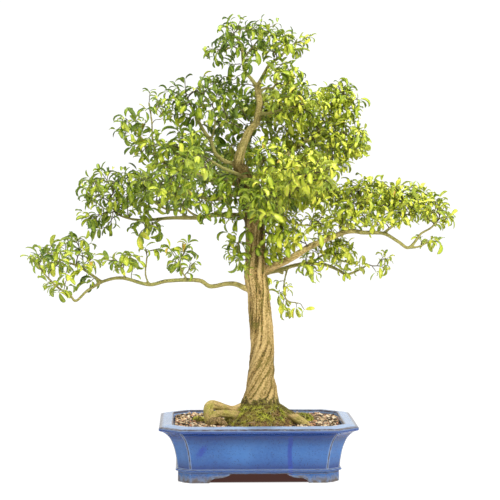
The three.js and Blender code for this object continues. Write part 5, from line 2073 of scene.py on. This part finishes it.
@dataclass
class Planting:
    """The bed of grains, the moss cushions and the dry litter on them."""

    view: FrontView
    finishes: Finishes
    bed_voxel: float = 3.9 * MM
    bed_rise: float = 3 * MM
    moss_voxel: float = 2.0 * MM
    grain_radius: float = 3.3 * MM
    crumb_radius: float = 1.5 * MM
    tuft_height: float = 3.4 * MM
    tuft_width: float = 1.0 * MM
    stalk_radius: float = 0.45 * MM
    seed: int = 7

    # The CAD nodes of the moss and the names of the pieces that stand for them.
    CUSHIONS = {"moss_mound": "moss_cushion", "moss_patch_left": "moss_left",
                "moss_patch_right": "moss_right"}
    # Name, slot and finish, then spacing, smallest and largest size, tumble, sink and seed.
    GRAINS = Strewing("planting_grains", "planting_mix", "grains", 5 * MM, 0.62, 1.28, 0.6, 2.2 * MM, 3)
    CRUMBS = Strewing("moss_crumbs", "planting_mix", "crumbs", 4.4 * MM, 0.6, 1.7, 0.8, 0.8 * MM, 11)
    TUFTS = Strewing("moss_tufts", "moss", "moss", 2.9 * MM, 0.6, 1.35, 0.35, 0.7 * MM, 5)
    LITTER = Strewing("dry_litter", "moss", "straw", 8.5 * MM, 0.5, 1.25, 0.3, -0.6 * MM, 9)
    # Length and bend of each form of stalk.
    STALKS = ((9 * MM, 0.1), (14 * MM, 0.16), (19 * MM, -0.12), (11 * MM, 0.22))

    def build(self) -> None:
        """Makes bed, grains, moss, tufts and litter and hands them to the frame."""
        rng = default_rng(self.seed)
        bed = self.skin("soil", "soil_bed", self.bed_voxel, 0.5 * MM)
        places = vertex_places(bed.data)
        places[:, 2] += self.bed_rise * smoothstep(places[:, 2], 90 * MM, 100 * MM)
        move_vertices(bed.data, places)
        cushions = [self.skin(node, name, self.moss_voxel, 1.3 * MM) for node, name in self.CUSHIONS.items()]
        upward = np.concatenate([vertex_normals(piece.data)[:, 2] for piece in cushions])
        wear = self.wear(np.concatenate([vertex_places(piece.data) for piece in cushions]))
        layers = (
            (self.GRAINS, [bed], self.bare_soil(bed, cushions),
             [pebble(f"grain_{k}", self.grain_radius, rng) for k in range(6)]),
            (self.CRUMBS, cushions, smoothstep(upward, 0.2, 0.5) * smoothstep(wear, 0.25, 0.8),
             [pebble(f"crumb_{k}", self.crumb_radius, rng) for k in range(4)]),
            (self.TUFTS, cushions, smoothstep(upward, 0.1, 0.4) * (1 - 0.85 * wear),
             [spike_clump(f"tuft_{k}", 5, self.tuft_height, self.tuft_width, 0.75, rng) for k in range(4)]),
            (self.LITTER, cushions, smoothstep(upward, 0.3, 0.6),
             [stalk(f"stalk_{k}", length, self.stalk_radius, bend, rng)
              for k, (length, bend) in enumerate(self.STALKS)]),
        )
        scatter = ScatterTree()
        for strewing, grounds, cover, forms in layers:
            self.strew(scatter, strewing, grounds, cover, forms)
        seat(bed, ["soil"], self.finishes["earth"])
        for piece, node in zip(cushions, self.CUSHIONS):
            set_attribute(piece.data, "tone", np.full(len(piece.data.vertices), 0.16))
            set_attribute(piece.data, "worn", self.wear(vertex_places(piece.data)))
            seat(piece, [node], self.finishes["moss"])
        self.seedling()

    def skin(self, node: str, name: str, voxel: float, lift: float) -> Object:
        """Makes an even skin over a CAD node's shape, uneven on top.

        Args:
            node: the CAD node.
            name: the new piece's name.
            voxel: the skin's grid size.
            lift: how high the bumps on its upper side rise.

        Returns:
            The piece.
        """
        piece = remeshed(mesh_object(f"{name}_solid", *merged_node(node)), name, voxel, 2)
        places = vertex_places(piece.data)
        normals = vertex_normals(piece.data)
        bumps = np.array([noise.fractal(Vector(row) * 90, 0.9, 2.0, 4) for row in places])
        rise = bumps * lift * smoothstep(normals[:, 2], 0.1, 0.6)
        move_vertices(piece.data, places + normals * rise[:, None])
        return piece

    def wear(self, places: Array) -> Array:
        """Works out how worn the moss is: most at the right front, by the rim.

        Args:
            places: the places on the moss.

        Returns:
            For each place a share, 0 where the moss is whole.
        """
        x, y = places[:, 0] - self.view.middle.x, places[:, 1] - self.view.middle.y
        patches = np.array([noise.noise(Vector(row) * 40 + Vector((3, 7, 1))) for row in places])
        right = smoothstep(x, 14 * MM, 38 * MM) * smoothstep(-y, 30 * MM, 62 * MM)
        front = smoothstep(-y, 60 * MM, 98 * MM) * 0.9
        return np.clip(np.maximum(right, front) + 0.7 * patches - 0.15, 0, 1)

    def bare_soil(self, bed: Object, cushions: Sequence[Object]) -> Array:
        """Marks the bed's top where no moss lies on it.

        Args:
            bed: the bed.
            cushions: the moss.

        Returns:
            For each of the bed's vertices a share, 0 under the moss.
        """
        places, normals = vertex_places(bed.data), vertex_normals(bed.data)
        trees = [BVHTree.FromObject(piece, bpy.context.evaluated_depsgraph_get()) for piece in cushions]
        cover = smoothstep(normals[:, 2], 0.35, 0.7) * (places[:, 2] > 93 * MM)
        for i in np.flatnonzero(cover):
            start = Vector(places[i]) - Vector((0, 0, 14 * MM))
            if any(tree.ray_cast(start, Vector((0, 0, 1)), 60 * MM)[0] for tree in trees):
                cover[i] = 0.0
        return cover

    def strew(self, scatter: ScatterTree, strewing: Strewing, grounds: Sequence[Object], cover: Array,
              forms: Sequence[Object]) -> None:
        """Strews forms over copies of the grounds and hands the piece to the frame.

        Args:
            scatter: the geometry tree.
            strewing: how the forms are strewn.
            grounds: the pieces to strew over.
            cover: how much of the grounds is covered, at each of their vertices.
            forms: the forms. They are removed.
        """
        points: list[Array] = []
        faces: list[Face] = []
        for ground in grounds:
            first = len(points)
            points += list(vertex_places(ground.data))
            faces += [tuple(first + v for v in face.vertices) for face in ground.data.polygons]
        carrier = mesh_object(f"{strewing.name}_ground", points, faces)
        set_attribute(carrier.data, "cover", cover)
        shelf = FormShelf(f"{strewing.name}_forms", forms)
        piece = scatter.grow(carrier, strewing.name, {
            "Material": self.finishes[strewing.finish], "Forms": shelf.collection,
            "Spacing": strewing.spacing, "Smallest": strewing.smallest, "Largest": strewing.largest,
            "Tumble": strewing.tumble, "Sink": strewing.sink, "Seed": strewing.seed})
        seat(piece)
        shelf.clear()

    def seedling(self) -> None:
        """Makes the tiny plant by the front rim."""
        leaves = []
        base = Vector(self.view.settle(((46, 108, -112, 1),))[0][:3])
        for k, size in enumerate((0.3, 0.26, 0.2)):
            form = LeafForm(0.6, 0.3, 0.1, length=26 * MM * size, width=15 * MM * size)
            leaf = form.build(f"seed_leaf_{k}")
            turn = Quaternion((0, 0, 1), 2.1 * k) @ Quaternion((1, 0, 0), 0.7)
            places = [turn @ Vector(row) + base for row in vertex_places(leaf.data)]
            move_vertices(leaf.data, np.array(places))
            leaves.append(leaf)
        with bpy.context.temp_override(active_object=leaves[0], selected_editable_objects=leaves):
            bpy.ops.object.join()
        piece = leaves[0]
        piece.name = "seedling"
        set_attribute(piece.data, "tone", np.full(len(piece.data.vertices), 0.3))
        seat(piece, material=self.finishes["leaves"])


# Studio

@dataclass
class Studio:
    """A white floor that meets a white surround, soft lamps and the photographer's camera."""

    view: FrontView
    floor_radius: float = 7.0
    floor_sides: int = 96
    white: Colour = (1.0, 1.0, 1.0, 1.0)
    shade: Colour = srgb(74, 50, 46)
    pale_floor: Colour = (0.82, 0.82, 0.82, 1.0)
    shaded_floor: Colour = (0.2, 0.15, 0.12, 1.0)
    shaded_width: tuple[float, float] = (138 * MM, 152 * MM)
    shaded_depth: tuple[float, float] = (96 * MM, 110 * MM)
    camera_distance: float = 3500 * MM
    camera_height: float = 581 * MM
    camera_turn: float = math.radians(1.8)
    aim: tuple[float, float, float] = (-14 * MM, 0.0, 447 * MM)
    lamp_aim: tuple[float, float, float] = (0.0, 0.0, 0.45)
    focal_length: float = 126.8
    sensor_width: float = 36.0

    # Name, place from the pot's middle in metres, side length and power in watts.
    LAMPS = (("key", (1.2, -1.9, 1.9), 0.4, 72.0), ("fill", (-1.8, -1.6, 1.0), 1.2, 18.0),
             ("top", (0.1, 0.2, 2.4), 0.8, 34.0))

    def build(self) -> None:
        """Makes floor, surround, lamps and camera."""
        self.floor()
        self.surround()
        for name, place, size, power in self.LAMPS:
            light = bpy.data.lights.new(name, "AREA")
            light.size = size
            light.energy = power
            target = self.view.middle + Vector(self.lamp_aim)
            self.stand(name, light, self.view.middle + Vector(place), target)
        self.camera()

    def floor(self) -> None:
        """Makes the floor: white to the eye, pale to the light that falls on it, with a painted shadow under
        the pot.
        """
        sides = self.floor_sides
        angles = 2 * np.pi * np.arange(sides) / sides
        rim = np.stack([np.cos(angles), np.sin(angles), np.zeros(sides)], axis=1) * self.floor_radius
        rim += np.array([self.view.middle.x, self.view.middle.y, -0.4 * MM])
        disc = mesh_object("studio_floor", rim, [tuple(range(sides))])
        graph = MaterialGraph("floor_white", 0.9, specular=0.0)
        x, y, _ = graph.axes(graph.place())
        aside = graph.calc("ABSOLUTE", graph.calc("SUBTRACT", x, self.view.middle.x))
        ahead = graph.calc("ABSOLUTE", graph.calc("SUBTRACT", y, self.view.middle.y))
        # Under the pot the floor is a painted shadow: the shaded colour, and a dark glow to the eye.
        open_floor = graph.calc("MAXIMUM", graph.remap(aside, *self.shaded_width),
                                graph.remap(ahead, *self.shaded_depth))
        graph.feed(graph.shader.inputs["Base Color"],
                   graph.blend(open_floor, self.shaded_floor, self.pale_floor))
        glow = graph.add("ShaderNodeEmission", {"Color": graph.blend(open_floor, self.shade, self.white),
                                                "Strength": 1.1})
        share = graph.times(graph.add("ShaderNodeLightPath").outputs["Is Camera Ray"], 0.95)
        mixed = graph.add("ShaderNodeMixShader", {0: share, 1: graph.shader.outputs[0], 2: glow.outputs[0]})
        graph.feed(graph.tree.nodes["Material Output"].inputs["Surface"], mixed.outputs[0])
        disc.data.materials.append(graph.material)

    def surround(self) -> None:
        """Makes the world: white to the eye, brighter from behind and above to the light."""
        world = bpy.data.worlds.new("white_surround")
        world.use_nodes = True
        bpy.context.scene.world = world
        graph = ShaderGraph(world.node_tree)
        _, y, z = graph.axes(graph.add("ShaderNodeTexCoord").outputs["Generated"])
        light = graph.times(graph.remap(y, -0.6, 0.9, 0.28, 1.25), graph.remap(z, -0.2, 0.6, 0.68, 0.94))
        seen = graph.add("ShaderNodeLightPath").outputs["Is Camera Ray"]
        strength = graph.plus(light, graph.calc("SUBTRACT", 1.0, seen), graph.times(seen, 1.05))
        background = graph.tree.nodes["Background"].inputs
        graph.feed(background["Strength"], strength)
        graph.feed(background["Color"], self.white)

    def stand(self, name: str, data: bpy.types.ID, place: Vector, target: Vector) -> Object:
        """Stands a lamp or a camera at a place and turns it towards a target.

        Args:
            name: its name.
            data: the lamp or the camera.
            place: its place.
            target: where it looks.

        Returns:
            Its object.
        """
        made = bpy.data.objects.new(name, data)
        made.location = place
        made.rotation_euler = (target - place).to_track_quat("-Z", "Y").to_euler()
        bpy.context.scene.collection.objects.link(made)
        return made

    def camera(self) -> None:
        """Stands the camera where the photographer stood."""
        data = bpy.data.cameras.new("front_camera")
        data.lens = self.focal_length
        data.sensor_width = self.sensor_width
        target = self.view.middle + Vector(self.aim)
        back = Vector((-math.sin(self.camera_turn), -math.cos(self.camera_turn), 0.0))
        place = target + back * self.camera_distance
        place.z = self.camera_height
        bpy.context.scene.camera = self.stand("front_camera", data, place, target)
        bpy.context.scene.view_settings.view_transform = "Standard"


def main() -> None:
    """Builds the tree in its pot, piece by piece, and the studio round it."""
    logging.basicConfig(level=logging.INFO, format="%(message)s")
    low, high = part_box("pot")
    middle = Vector(((low[0] + high[0]) / 2, (low[1] + high[1]) / 2, 0.0))
    view = FrontView(middle)
    finishes = Finishes(middle)
    Studio(view).build()
    GlazedPot(middle, finishes).build()
    DrainageHardware(finishes).dress()
    Planting(view, finishes).build()
    wood = Wood(view, finishes)
    wood.build()
    Foliage(wood, finishes).build(sorted(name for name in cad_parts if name.startswith("leaves_")))


if __name__ == "__main__":
    main()
